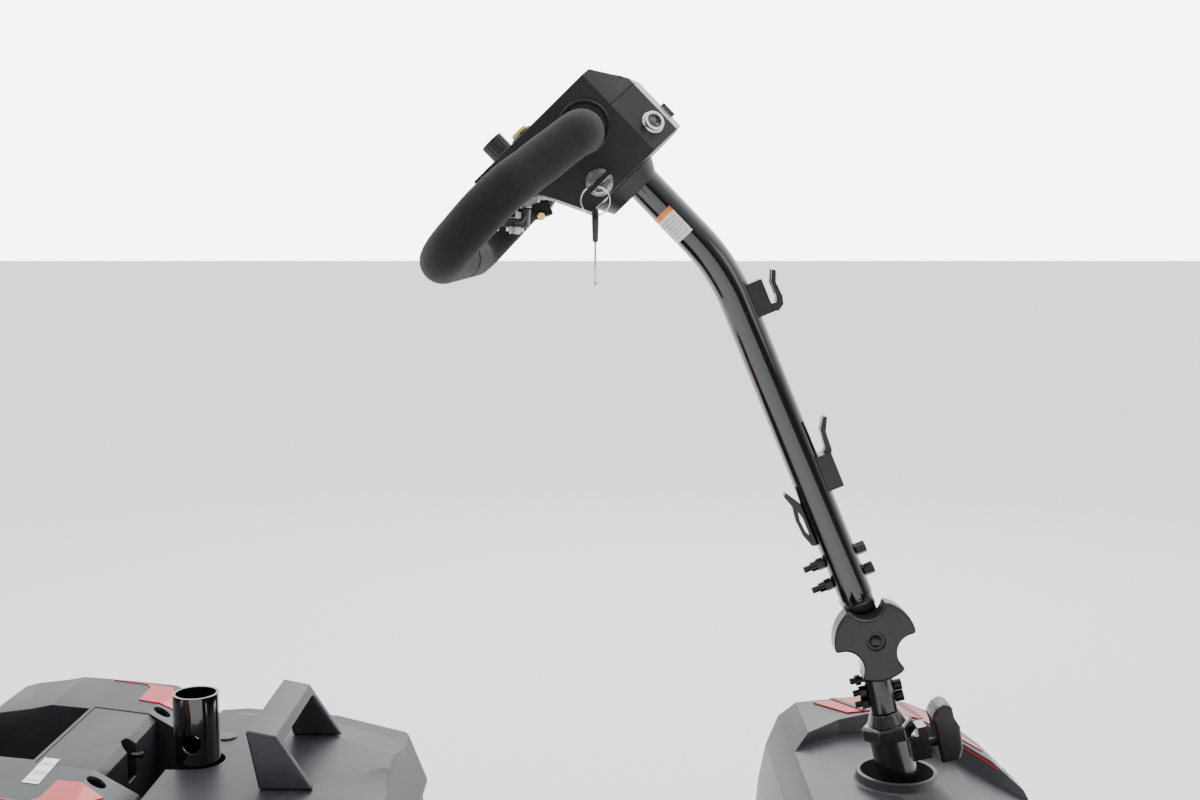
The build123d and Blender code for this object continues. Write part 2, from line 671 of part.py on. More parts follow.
def throttle_pivot():
    """The bracket under the dash that carries the throttle lever's pivot pin."""
    body = block(-20, 20, -21, 21, 0.05, 9)
    pin = rod(THROTTLE_PIN_R, (0, 0, 8), (0, 0, 34))
    head = rod(THROTTLE_PIN_R + 3, (0, 0, 28.4), (0, 0, 32))
    return under_plane() * (body + pin + head)


def throttle_lever():
    """The two-handed throttle lever, with a paddle in front of each grip."""
    body = rod(13, (0, 0, 11), (0, 0, 27.6))
    for side in (-1, 1):
        y0, y1 = sorted((side * 8, side * 104))
        body += block(-7, 7, y0, y1, 15, 20)
        p0, p1 = sorted((side * 96, side * 124))
        body += block(-7, 40, p0, p1, 13, 21)
    body -= rod(THROTTLE_PIN_R + RUN_CLEAR, (0, 0, 0), (0, 0, 60))
    return under_plane() * body


# ---------------------------------------------------------------- clamp knob
def clamp_knob():
    """The three-lobed knob that clamps the tiller at its pivot."""
    face = Circle(KNOB_R)
    for k in range(3):
        a = rad(105 + 120 * k)
        face -= Pos(38.5 * COS(a), 38.5 * SIN(a)) * Circle(17.5)
    face = fillet(face.vertices(), 3)
    knob = extrude(face, KNOB_Y1 - KNOB_Y0)
    knob = chamfer(knob.faces().sort_by(Axis.Z)[-1].edges(), 1.5)
    nose = -EAR_Y1 - JOINT_GAP - KNOB_Y1
    knob += Pos(0, 0, -nose / 2) * Cylinder(12, nose)
    knob -= Pos(0, 0, KNOB_Y1 - KNOB_Y0) * Cylinder(8.5, 6)
    plane = Plane(origin=(PIVOT_X, KNOB_Y1, PIVOT_Z), x_dir=(1, 0, 0), z_dir=(0, -1, 0))
    knob = plane * knob
    return knob - rod(PIVOT_BOLT_R + 0.05, (PIVOT_X, -60, PIVOT_Z), (PIVOT_X, 0, PIVOT_Z))


def pivot_bolt():
    """The pivot bolt, fixed in the knob, with a lock nut on the far side."""
    shank = rod(PIVOT_BOLT_R, (PIVOT_X, KNOB_Y0 + 4.5, PIVOT_Z), (PIVOT_X, EAR_Y1 + 12, PIVOT_Z))
    seat = EAR_Y1 + JOINT_GAP
    nut = hexagon(17, (PIVOT_X, seat, PIVOT_Z), (PIVOT_X, seat + 8.4, PIVOT_Z))
    return shank + nut


# ---------------------------------------------------------------- front chassis
def front_frame():
    """The welded front frame: rails, cross tubes, axle beam, kingpin bosses and head tube."""
    wall = 2.5
    frame = block(DOCK_X, DOCK_X + 26, -150, 150, RAIL_Z0, RAIL_Z1)
    front = FRONT_AXLE_X - 24
    for side in (-1, 1):
        y0, y1 = side * RAIL_Y - RAIL_W / 2, side * RAIL_Y + RAIL_W / 2
        rail = block(DOCK_X, front, y0, y1, RAIL_Z0, RAIL_Z1)
        rail -= block(DOCK_X - 1, front - 30, y0 + wall, y1 - wall, RAIL_Z0 + wall, RAIL_Z1 - wall)
        frame += rail
    frame += block(120, 145, -RAIL_Y, RAIL_Y, RAIL_Z0, RAIL_Z1)
    half = BEAM_W / 2
    beam = block(-half, half, 6 - KINGPIN_Y, KINGPIN_Y - 6, -BEAM_DROP - BEAM_H / 2, -BEAM_DROP + BEAM_H / 2)
    bottom = -BEAM_DROP - BOSS_H / 2 + 2
    beam += rod(HEAD_TUBE_OD / 2, (0, 0, bottom), (0, 0, HEAD_TUBE_TOP))
    for side in (-1, 1):
        beam += Pos(0, side * KINGPIN_Y, -BEAM_DROP) * Cylinder(BOSS_R, BOSS_H)
        gusset = [(-60, 4 - BEAM_DROP), (-12, 4 - BEAM_DROP), (-12, 90 - BEAM_DROP)]
        beam += Pos(0, side * 12, 0) * side_prism(gusset, 3)
        beam -= Pos(0, side * KINGPIN_Y, -BEAM_DROP) * Cylinder(KINGPIN_R + RUN_CLEAR, 200)
    beam += block(HEAD_TUBE_OD / 2 - 3, LOCK_X0, -10, 10, LOCK_Z - 11, HEAD_TUBE_TOP - 2)
    beam += block(LOCK_X0, LOCK_X1, -10, 10, LOCK_Z - 11, LOCK_Z + 20)
    beam -= rod(HEAD_TUBE_OD / 2 - HEAD_TUBE_WALL, (0, 0, -500), (0, 0, 100))
    beam -= rod(LOCK_GUIDE_R + RUN_CLEAR, (5, 0, LOCK_Z), (LOCK_X1 + 1, 0, LOCK_Z))
    return frame + STEER * beam


def lock_plunger():
    """The sprung pin that locks the column, with its ribbed grip."""
    x0 = LOCK_X1 + LOCK_TRAVEL + JOINT_GAP
    pin = rod(LOCK_GUIDE_R, (LOCK_X0 - 4, 0, LOCK_Z), (x0 + 4, 0, LOCK_Z))
    pin += rod(LOCK_PIN_R, (STEM_R + JOINT_GAP, 0, LOCK_Z), (LOCK_X0, 0, LOCK_Z))
    profile = [(x0, LOCK_Z - 19), (x0, LOCK_Z + 14), (x0 + 4, LOCK_Z + 28), (x0 + 10, LOCK_Z + 34),
               (x0 + 17, LOCK_Z + 33), (x0 + 22, LOCK_Z + 14), (x0 + 25, LOCK_Z - 12), (x0 + 20, LOCK_Z - 22)]
    grip = side_prism(profile, 15)
    ends = grip.faces().sort_by(Axis.Y)
    grip = fillet(ends[0].edges() + ends[-1].edges(), 4)
    for k in range(6):
        z = LOCK_Z - 14 + 5.0 * k
        grip -= Pos(x0 + 26 - 0.24 * (z - LOCK_Z + 14), 0, z) * Cylinder(1.3, 60).rotate(Axis.X, 90)
    return STEER * (pin + grip)


def floor_pan():
    """The moulded floor pan with an upturned rim and side skirts."""
    outline = mirrored([(PAN_REAR, 205), (225, 205), (262, 120)])
    inner = mirrored([(PAN_REAR + 4, 201), (222, 201), (258, 117)])
    pan = plan_prism(outline, RAIL_Z1 + GAP, PAN_RIM)
    pan -= plan_prism(inner, DECK_Z, PAN_RIM + 10)
    for side in (-1, 1):
        y0, y1 = sorted((side * 201, side * 205))
        pan += block(PAN_REAR, 225, y0, y1, 92, DECK_Z)
    return pan


def floor_mat():
    """The rubber floor mat with raised ribs."""
    mat = plan_prism(mirrored([(PAN_REAR + 6, 198), (218, 198), (252, 115)]), DECK_Z + 0.05, DECK_Z + 4)
    for k in range(16):
        x = -44 + 17 * k
        mat += block(x, x + 6, -180, 180, DECK_Z + 3, DECK_Z + 5.5)
    return mat


# ---------------------------------------------------------------- front hood
def hood_form(shrink):
    """The hood's outer form, drawn in by shrink."""
    return three_view_form(HOOD_SIDE, HOOD_PLAN, HOOD_CROSS, shrink)


def channel(shrink):
    """The sunk channel round the column, between the two raised shoulders."""
    s = shrink
    plan = [(240, 60 + s), (268 - s, 60 + s), (297 - s, 90 + s), (340, 124 + s), (372, 132 + s), (620, 132 + s)]
    floor = [(230, 400), (230, 243 - s), (310, 252 - s), (367, 252 - s), (459, 224 - s), (523, 187 - s),
             (620, 130 - s), (620, 400)]
    return side_prism(floor, 300) & plan_prism(mirrored(plan), 60, 400)


def front_hood():
    """The hood over the front axle: raised shoulders, sunk channel, wheel arches and collar."""
    hood = (hood_form(0) - channel(0)) - (hood_form(SHROUD_WALL) - channel(SHROUD_WALL))
    hood -= block(200, 600, -300, 300, 60, PAN_RIM + GAP)
    for side in (-1, 1):
        y0, y1 = sorted((side * 136, side * 300))
        hood -= block(FRONT_AXLE_X - 112, FRONT_AXLE_X + 108, y0, y1, 60, 206)
    hood += Pos(COLLAR_X, 0, COLLAR_TOP - 17) * Cone(COLLAR_R + 20, COLLAR_R, 17)
    hood += Pos(COLLAR_X, 0, COLLAR_TOP - 12) * Cylinder(COLLAR_R, 24)
    return hood - Pos(COLLAR_X, 0, COLLAR_TOP) * Cylinder(COLLAR_R - 4, 100)


def hood_inserts():
    """The coloured inserts on the two shoulders of the hood."""
    skin = [(x, z + 0.05) for x, z in HOOD_SIDE[5:10]]
    skin += [(x, z + 1.6) for x, z in reversed(HOOD_SIDE[5:10])]
    plan = [(322, 182), (351, 138), (440, 138), (496, 150), (486, 160), (440, 182)]
    half = side_prism(skin, 300) & plan_prism(plan, 100, 400)
    return Compound(children=[half, swap_side(half)])


def front_bumper():
    """The wrap-round front bumper under the nose of the hood."""
    outer = mirrored([(486, 120), (540, 116), (556, 84)])
    inner = mirrored([(486, 112), (534, 108), (548, 80)])
    bumper = plan_prism(outer, 92, 128) - plan_prism(inner, 80, 140)
    brace = block(FRONT_AXLE_X, 549, -12, 12, 94, 108)
    return bumper + (brace - STEER * block(-200, BEAM_W / 2 + 0.1, -60, 60, -500, 0))


# ---------------------------------------------------------------- rear chassis
def rear_frame():
    """The welded rear frame: rails, cross members, axle plates and anti-tip arms."""
    frame = block(TAIL_X0, TAIL_X0 + 24, -ANTI_TIP_Y - 5, ANTI_TIP_Y + 5, TAIL_Z0, TAIL_Z1)
    frame += block(SEAT_TUBE_X - 26, SEAT_TUBE_X + 26, -RAIL_Y, RAIL_Y, REAR_RAIL_Z0, REAR_RAIL_Z1)
    frame += block(-150, -125, -RAIL_Y, RAIL_Y, REAR_RAIL_Z0, REAR_RAIL_Z1)
    for side in (-1, 1):
        y0, y1 = side * RAIL_Y - 12.5, side * RAIL_Y + 12.5
        frame += block(-330, DOCK_X - GAP, y0, y1, REAR_RAIL_Z0, REAR_RAIL_Z1)
        rise = [(-330, REAR_RAIL_Z0), (-352, TAIL_Z0), (-352, TAIL_Z1), (-322, REAR_RAIL_Z1),
                (-310, REAR_RAIL_Z0)]
        frame += Pos(0, side * RAIL_Y, 0) * side_prism(rise, 12.5)
        frame += block(TAIL_X0, -345, y0, y1, TAIL_Z0, TAIL_Z1)
        arm = [(TAIL_X0 + 4, TAIL_Z0 + 2), (CASTER_X - 8, CASTER_Z), (CASTER_X + 8, CASTER_Z - 8),
               (TAIL_X0 + 22, TAIL_Z0 + 2)]
        frame += Pos(0, side * ANTI_TIP_Y, 0) * side_prism(arm, 5)
        plate_y = side * 90
        x0, x1 = REAR_AXLE_X - 22, REAR_AXLE_X + 22
        frame += block(x0, x1, plate_y - 4, plate_y + 4, 84, TAIL_Z1)
        y2, y3 = sorted((side * RAIL_Y, side * 94))
        frame += block(x0, x1, y2, y3, TAIL_Z1 - 6, TAIL_Z1)
    for side in (-1, 1):
        x, z = REAR_AXLE_X, REAR_TYRE_R
        frame -= rod(AXLE_TUBE_R + 0.05, (x, side * 80, z), (x, side * 100, z))
        y0, y1 = side * ANTI_TIP_Y - 10, side * ANTI_TIP_Y + 10
        frame -= rod(CASTER_PIN_R + 0.05, (CASTER_X, y0, CASTER_Z), (CASTER_X, y1, CASTER_Z))
    return frame - rod(SEAT_TUBE_OD / 2, (SEAT_TUBE_X, 0, REAR_RAIL_Z0 + 4), (SEAT_TUBE_X, 0, 200))


def anti_tip_roller(side):
    """One anti-tip roller on its axle pin."""
    y = side * ANTI_TIP_Y
    inner, outer = side * (ANTI_TIP_Y + 5.6), side * (ANTI_TIP_Y + 21)
    wheel = rod(CASTER_R, (CASTER_X, inner, CASTER_Z), (CASTER_X, outer, CASTER_Z))
    pin_end, pin_tip = side * (ANTI_TIP_Y - 8), side * (ANTI_TIP_Y + 23)
    wheel += rod(CASTER_PIN_R, (CASTER_X, pin_end, CASTER_Z), (CASTER_X, pin_tip, CASTER_Z))
    return wheel


def seat_post_tube():
    """The seat post receiver with its height pin holes."""
    tube = pipe(SEAT_TUBE_OD / 2, SEAT_TUBE_OD / 2 - SEAT_TUBE_WALL,
                (SEAT_TUBE_X, 0, REAR_RAIL_Z0 + 4), (SEAT_TUBE_X, 0, SEAT_TUBE_TOP))
    tube += rod(SEAT_TUBE_OD / 2, (SEAT_TUBE_X, 0, REAR_RAIL_Z0 + 4), (SEAT_TUBE_X, 0, REAR_RAIL_Z0 + 10))
    return tube - rod(SEAT_PIN_R, (SEAT_TUBE_X, -60, SEAT_PIN_Z), (SEAT_TUBE_X, 60, SEAT_PIN_Z))


def transaxle_housing():
    """The gearbox and the two axle tubes."""
    x, z = REAR_AXLE_X, REAR_TYRE_R
    body = rod(46, (x, -30, z), (x, 30, z)) + rod(30, (GEAR_X, -30, GEAR_Z), (GEAR_X, 30, GEAR_Z))
    body += block(GEAR_X, x, -30, 30, z - 16, z + 44)
    body += rod(AXLE_TUBE_R, (x, -168, z), (x, 168, z))
    return body - rod(HALF_SHAFT_R + RUN_CLEAR, (x, -200, z), (x, 200, z))


def axle_half(side):
    """The half shaft that carries one rear wheel."""
    x, z = REAR_AXLE_X, REAR_TYRE_R
    end = side * (REAR_WHEEL_Y + REAR_TYRE_W / 2 + 4)
    return rod(HALF_SHAFT_R, (x, side * 3, z), (x, end, z))


def drive_motor():
    """The drive motor on the side of the gearbox."""
    x, z = GEAR_X, GEAR_Z
    return rod(28, (x, 30.1, z), (x, 100, z)) + rod(8, (x, 99, z), (x, 106, z))


def parking_brake():
    """The electromagnetic parking brake on the other side of the gearbox."""
    x, z = GEAR_X, GEAR_Z
    return rod(27, (x, -30.1, z), (x, -52, z)) + rod(18, (x, -52, z), (x, -60, z))


def freewheel_lever():
    """The lever that frees the parking brake so that the scooter can be pushed."""
    x, z = GEAR_X, GEAR_Z
    hub = rod(9, (x, -60.5, z), (x, -66, z))
    stalk = block(x - 62, x, -66, -61, z - 5, z + 5)
    grip = rod(8, (x - 64, -56, z), (x - 64, -72, z))
    return hub + stalk + grip


def controller_box():
    """The speed controller, finned on top, on a plate above the axle."""
    z0 = TAIL_Z1 + 0.2
    box = block(-462, -364, -46, 46, z0 + 4, 214)
    for k in range(9):
        y = -42 + 10 * k
        box -= block(-457, -369, y, y + 4, 206, 216)
    return box + block(-468, -352, -53, 53, z0, z0 + 4.8)


# ---------------------------------------------------------------- rear shroud
def shroud_form(shrink):
    """The rear shroud's outer form, drawn in by shrink."""
    return three_view_form(SHROUD_SIDE, SHROUD_PLAN, SHROUD_CROSS, shrink)


def rear_shroud():
    """The rear shroud: two lobes with a luggage well between them and screw bosses below."""
    shroud = shroud_form(0) - shroud_form(SHROUD_WALL)
    shroud -= block(-700, -200, -300, 300, 100, 178)
    shroud -= block(-360, -300, 22 - BATTERY_HALF_W, BATTERY_HALF_W - 22, 100, 262)
    wall = SHROUD_WALL
    front = BRIDGE_REAR - 0.5
    well_out = block(WELL_REAR - wall, front, -WELL_Y - wall, WELL_Y + wall, WELL_FLOOR - wall, 330)
    well_in = block(WELL_REAR, front - wall, -WELL_Y, WELL_Y, WELL_FLOOR, 330)
    shroud = shroud + (well_out & shroud_form(0)) - well_in
    shroud -= block(BRIDGE_REAR - 0.4, -300, -BRIDGE_Y - 1, BRIDGE_Y + 1, 100, 330)
    for side in (-1, 1):
        shroud -= rod(PORT_R, (BRIDGE_FRONT, side * PORT_Y, 250), (BRIDGE_FRONT, side * PORT_Y, 320))
        post_x = TAIL_X0 + 10
        shroud += rod(7, (post_x, side * RAIL_Y, TAIL_Z1 + GAP), (post_x, side * RAIL_Y, WELL_FLOOR - 1))
        inner = side * (BRIDGE_Y + 2.5)
        web = block(BRIDGE_REAR - 2, -310, inner - 1.5, inner + 1.5, 182, 300)
        shroud += web & shroud_form(0.5)
    return shroud


def shroud_bridge():
    """The centre cover between the lobes, with a thumb scoop in its front edge."""
    top = [(BRIDGE_REAR, 297.5), (-352, 290.5), (BRIDGE_FRONT, 283.5)]
    outer = [(BRIDGE_REAR, 216)] + top + [(BRIDGE_FRONT, 216)]
    inner = [(BRIDGE_REAR + 3, 210), (BRIDGE_REAR + 3, 294), (-354, 287), (BRIDGE_FRONT - 3, 281.5),
             (BRIDGE_FRONT - 3, 210)]
    cover = side_prism(outer, BRIDGE_Y) - side_prism(inner, BRIDGE_Y - 3)
    axis = ((BRIDGE_FRONT + 8, 0, 306), (BRIDGE_FRONT - 6, 0, 254))
    cup = rod(15.5, *axis) & side_prism(outer, BRIDGE_Y)
    return cover + cup - rod(12.5, *axis)


def rear_inserts():
    """The coloured inserts on the lobes of the rear shroud."""
    outline = [(-373, 110), (-357, 104), (-336, 96), (-322, 108), (-340, 158), (-417, 161), (-400, 128)]
    skin = [(x, z + 0.05) for x, z in SHROUD_SIDE[2:6]]
    skin += [(x, z + 1.6) for x, z in reversed(SHROUD_SIDE[2:6])]
    half = plan_prism(outline, 200, 400) & side_prism(skin, 300)
    half -= rod(PORT_R + 1.5, (BRIDGE_FRONT, PORT_Y, 250), (BRIDGE_FRONT, PORT_Y, 320))
    return Compound(children=[half, swap_side(half)])


def rear_reflectors():
    """The two red reflectors on the back of the shroud."""
    half = block(-556, -545, 60, 104, 166, 186) - shroud_form(0)
    return Compound(children=[half, swap_side(half)])


def floor_screws():
    """Pan-head screws that hold the floor pan down on the frame."""
    heads = []
    for x in (-46, 210):
        for y in (-190, 190):
            heads.append(rod(5, (x, y, DECK_Z + 4.2), (x, y, DECK_Z + 7)))
    return Compound(children=heads)


# ---------------------------------------------------------------- battery pack
def battery_plan(shrink):
    """The battery pack's outline, drawn in by shrink."""
    points = mirrored(BATTERY_PLAN)
    face = make_face(Polyline(*points, close=True))
    return offset(face, -shrink, kind=Kind.INTERSECTION) if shrink else face


def tube_slot(extra):
    """The slot in the back of the pack that passes the seat tube."""
    r = SEAT_TUBE_OD / 2 + 4 + extra
    slot = Pos(SEAT_TUBE_X, 0, 250) * Cylinder(r, 400)
    return slot + block(BATTERY_REAR - 20, SEAT_TUBE_X, -r, r, 50, 450)


def battery_case():
    """The lower tub of the battery pack."""
    outer = extrude(Plane.XY.offset(BATTERY_FLOOR) * battery_plan(4), BATTERY_SPLIT - BATTERY_FLOOR)
    inner = extrude(Plane.XY.offset(BATTERY_FLOOR + 3) * battery_plan(4 + BATTERY_WALL), 200)
    inner -= tube_slot(BATTERY_WALL)
    return outer - inner - tube_slot(0)


def battery_lid():
    """The faceted lid of the battery pack."""
    base = extrude(Plane.XY.offset(BATTERY_SPLIT + 0.4) * battery_plan(0), BATTERY_RIM - BATTERY_SPLIT - 0.4)
    rim = mirrored([(BATTERY_REAR, 170), (-281, 176), (-183, 152), (-105, 102), (BATTERY_FRONT - 5, 32)])
    top = mirrored([(BATTERY_REAR, 128), (-281, 134), (-212, 118), (-152, 54), (-104, 18)])
    crown = Solid.make_loft([Wire.make_polygon([(x, y, BATTERY_RIM - 3) for x, y in rim]),
                             Wire.make_polygon([(x, y, BATTERY_TOP) for x, y in top])])
    depth = BATTERY_RIM - BATTERY_SPLIT - 3
    nose = side_prism([(-100, BATTERY_TOP + 5), (-100, 264), (BATTERY_FRONT + 1, 240), (0, 240), (0, 280)], 200)
    hollow = extrude(Plane.XY.offset(BATTERY_SPLIT - 1) * battery_plan(BATTERY_WALL), depth)
    hollow -= tube_slot(BATTERY_WALL) + Pos(-6, 0, -3) * nose
    return base + crown - hollow - tube_slot(0) - nose


def battery_handle():
    """The carrying handle on the lid: a broad strap with two raked legs."""
    z0 = BATTERY_TOP + 0.05
    outer = [(-208, z0), (-219, 327), (-192, 321.5), (-160, z0)]
    side = side_prism(outer, HANDLE_HALF_W)
    side = fillet(side.edges().filter_by(Axis.Y).sort_by(Axis.Z)[-2:], 2.5)
    inner = block(-260, -140, 10 - HANDLE_HALF_W, HANDLE_HALF_W - 10, z0 - 2, 313)
    inner = fillet(inner.edges().filter_by(Axis.X).sort_by(Axis.Z)[-2:], 5)
    return side - inner


def battery_cells():
    """The two lead-acid blocks in the pack."""
    z0 = BATTERY_FLOOR + BATTERY_WALL + 0.1
    left = block(-248, -126, 4, 98, z0, z0 + 95)
    return Compound(children=[left, swap_side(left)])


# ---------------------------------------------------------------- export
def nodes():
    """Every sub-part by node name."""
    made = {
        "front_frame": front_frame(), "headset_bearings": headset_bearings(),
        "floor_pan": floor_pan(), "floor_mat": floor_mat(), "front_hood": front_hood(),
        "hood_inserts": hood_inserts(), "front_bumper": front_bumper(),
        "rear_frame": rear_frame(), "seat_post_tube": seat_post_tube(),
        "transaxle_housing": transaxle_housing(), "drive_motor": drive_motor(),
        "parking_brake": parking_brake(), "freewheel_lever": freewheel_lever(),
        "controller_box": controller_box(), "rear_shroud": rear_shroud(),
        "shroud_bridge": shroud_bridge(), "rear_inserts": rear_inserts(),
        "rear_reflectors": rear_reflectors(), "floor_screws": floor_screws(),
        "battery_case": battery_case(), "battery_lid": battery_lid(),
        "battery_handle": battery_handle(), "battery_cells": battery_cells(),
        "steering_stem": steering_stem(), "headset_nut": headset_nut(),
        "pivot_base": pivot_base(), "stem_bolts": stem_bolts(),
        "tiller_fork": tiller_fork(), "tiller_tube": tiller_tube(),
        "tiller_bolts": tiller_bolts(), "basket_hooks": basket_hooks(), "bag_hook": bag_hook(),
        "head_lower_shell": head_lower_shell(), "head_upper_shell": head_upper_shell(),
        "head_collar": head_collar(), "delta_bar": delta_bar(), "foam_grips": foam_grips(),
        "dash_panel": dash_panel(), "headlamps": headlamps(),
        "key_switch": key_switch(),
        "throttle_pivot": throttle_pivot(), "throttle_lever": throttle_lever(),
        "clamp_knob": clamp_knob(), "pivot_bolt": pivot_bolt(), "speed_dial": speed_dial(),
        "horn_button": push_button(-1), "light_button": push_button(1),
        "ignition_key": ignition_key(), "key_ring": key_ring(),
        "lock_plunger": lock_plunger(),
    }
    for side, name in ((1, "left"), (-1, "right")):
        front, rear = wheel_centre(True, side), wheel_centre(False, side)
        front_rim = rim(front, FRONT_TYRE_R, FRONT_TYRE_W, AXLE_R + RUN_CLEAR, 18)
        rear_rim = rim(rear, REAR_TYRE_R, REAR_TYRE_W, HALF_SHAFT_R, 24) + axle_half(side)
        front_tyre = tyre(front, FRONT_TYRE_R, FRONT_TYRE_W)
        rear_tyre = tyre(rear, REAR_TYRE_R, REAR_TYRE_W)
        made[f"front_wheel_{name}"] = Compound(children=[front_tyre, front_rim])
        made[f"rear_wheel_{name}"] = Compound(children=[rear_tyre, rear_rim])
        made[f"anti_tip_roller_{name}"] = anti_tip_roller(side)
        made[f"knuckle_{name}"] = Compound(children=[knuckle(side), kingpin(side)])
        made[f"tie_rod_{name}"] = tie_rod(side)
    return made


if __name__ == "__main__":
    os.makedirs("parts", exist_ok=True)
    for name, shape in nodes().items():
        export_step(shape, f"parts/{name}.step")
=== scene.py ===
import json
import logging
import math
from dataclasses import dataclass, field
from enum import Enum
from typing import Callable, Optional, Sequence

import bmesh
import bpy
from mathutils import Matrix, Vector

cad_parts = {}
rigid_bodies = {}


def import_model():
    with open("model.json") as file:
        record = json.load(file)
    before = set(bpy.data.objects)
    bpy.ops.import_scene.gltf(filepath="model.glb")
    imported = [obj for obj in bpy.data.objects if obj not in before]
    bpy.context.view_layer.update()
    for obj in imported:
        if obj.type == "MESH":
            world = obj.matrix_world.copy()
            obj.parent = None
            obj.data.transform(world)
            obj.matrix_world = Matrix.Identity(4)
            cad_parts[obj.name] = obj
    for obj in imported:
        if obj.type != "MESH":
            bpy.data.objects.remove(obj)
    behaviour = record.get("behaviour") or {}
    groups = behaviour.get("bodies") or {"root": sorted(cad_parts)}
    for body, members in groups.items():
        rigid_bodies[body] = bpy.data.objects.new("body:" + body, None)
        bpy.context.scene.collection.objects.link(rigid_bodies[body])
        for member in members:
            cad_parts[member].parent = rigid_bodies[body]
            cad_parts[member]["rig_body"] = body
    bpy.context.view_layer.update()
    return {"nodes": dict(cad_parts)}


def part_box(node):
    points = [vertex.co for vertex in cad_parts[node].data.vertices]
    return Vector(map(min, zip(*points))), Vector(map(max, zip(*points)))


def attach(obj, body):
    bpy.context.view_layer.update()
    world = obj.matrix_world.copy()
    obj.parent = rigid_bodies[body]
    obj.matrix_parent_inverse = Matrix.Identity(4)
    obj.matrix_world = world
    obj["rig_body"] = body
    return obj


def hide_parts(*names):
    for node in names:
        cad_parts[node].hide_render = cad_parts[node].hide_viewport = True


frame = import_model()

LOG = logging.getLogger("scooter")
Colour = tuple[float, float, float]
Point = tuple[float, float, float]


class Side(Enum):
    """Which side of the scooter a piece is on."""

    LEFT = 1
    RIGHT = -1

    @property
    def label(self) -> str:
        """The side's name as it is written in node names."""
        return self.name.lower()


class Axis(Enum):
    """The axis that a repeated ring of pieces turns about."""

    LATERAL = (math.pi / 2, 0.0, 0.0)
    VERTICAL = (0.0, 0.0, 0.0)


# ------------------------------------------------------------------ node graphs
class Graph:
    """A node tree, either a material's or a geometry modifier's."""

    def __init__(self, tree: bpy.types.NodeTree) -> None:
        """Keep the tree that nodes are added to."""
        self.tree = tree

    def node(self, kind: str, settings: Optional[dict] = None, inputs: Optional[dict] = None) -> bpy.types.Node:
        """Add one node.

        Args:
            kind: The node's type name.
            settings: Properties to set first; "stops" fills a colour ramp.
            inputs: Values, sockets or Values for its sockets, by name or index.

        Returns:
            The new node.
        """
        made = self.tree.nodes.new(kind)
        for name, value in (settings or {}).items():
            if name == "stops":
                self._fill_ramp(made.color_ramp, value)
            else:
                setattr(made, name, value)
        for name, value in (inputs or {}).items():
            self.feed(made.inputs[name], value)
        return made

    def feed(self, socket: bpy.types.NodeSocket, value: object) -> None:
        """Link a socket to another, or set its value."""
        source = value.socket if isinstance(value, Value) else value
        if isinstance(source, bpy.types.NodeSocket):
            self.tree.links.new(source, socket)
        elif isinstance(source, tuple) and len(source) == 3 and len(getattr(socket, "default_value", ())) == 4:
            socket.default_value = (*source, 1.0)
        else:
            socket.default_value = source

    @staticmethod
    def _fill_ramp(ramp: bpy.types.ColorRamp, stops: Sequence[tuple[float, Colour]]) -> None:
        """Set a colour ramp's stops from (place, colour) pairs."""
        while len(ramp.elements) < len(stops):
            ramp.elements.new(1.0)
        for element, (place, colour) in zip(ramp.elements, stops):
            element.position = place
            element.color = (*colour, 1.0)


class Value:
    """A number socket that takes part in Python arithmetic."""

    def __init__(self, graph: Graph, socket: bpy.types.NodeSocket) -> None:
        """Wrap one output socket of a graph."""
        self.graph = graph
        self.socket = socket

    def _maths(self, operation: str, *terms: object) -> "Value":
        """Add one Math node and return its result."""
        settings = {"operation": operation}
        made = self.graph.node("ShaderNodeMath", settings, dict(enumerate(terms)))
        return Value(self.graph, made.outputs[0])

    def __add__(self, other: object) -> "Value":
        """Sum of this and other."""
        return self._maths("ADD", self, other)

    __radd__ = __add__

    def __sub__(self, other: object) -> "Value":
        """This less other."""
        return self._maths("SUBTRACT", self, other)

    def __rsub__(self, other: object) -> "Value":
        """Other less this."""
        return self._maths("SUBTRACT", other, self)

    def __mul__(self, other: object) -> "Value":
        """Product of this and other."""
        return self._maths("MULTIPLY", self, other)

    __rmul__ = __mul__

    def __truediv__(self, other: object) -> "Value":
        """This divided by other."""
        return self._maths("DIVIDE", self, other)

    def __pow__(self, other: object) -> "Value":
        """This to the power of other."""
        return self._maths("POWER", self, other)

    def __gt__(self, other: object) -> "Value":
        """1 where this is more than other."""
        return self._maths("GREATER_THAN", self, other)

    def __lt__(self, other: object) -> "Value":
        """1 where this is less than other."""
        return self._maths("LESS_THAN", self, other)

    def __abs__(self) -> "Value":
        """This without its sign."""
        return self._maths("ABSOLUTE", self)

    def clamped(self) -> "Value":
        """This held between 0 and 1."""
        return self._maths("MINIMUM", self._maths("MAXIMUM", self, 0.0), 1.0)

    def wave(self) -> "Value":
        """The sine of this."""
        return self._maths("SINE", self)

    def band(self, low: float, high: float) -> "Value":
        """1 between low and high, and 0 outside."""
        return (self > low) * (self < high)

    def between(self, low: float, high: float) -> "Value":
        """A smooth climb from 0 at low to 1 at high."""
        return ((self - low) / (high - low)).clamped()


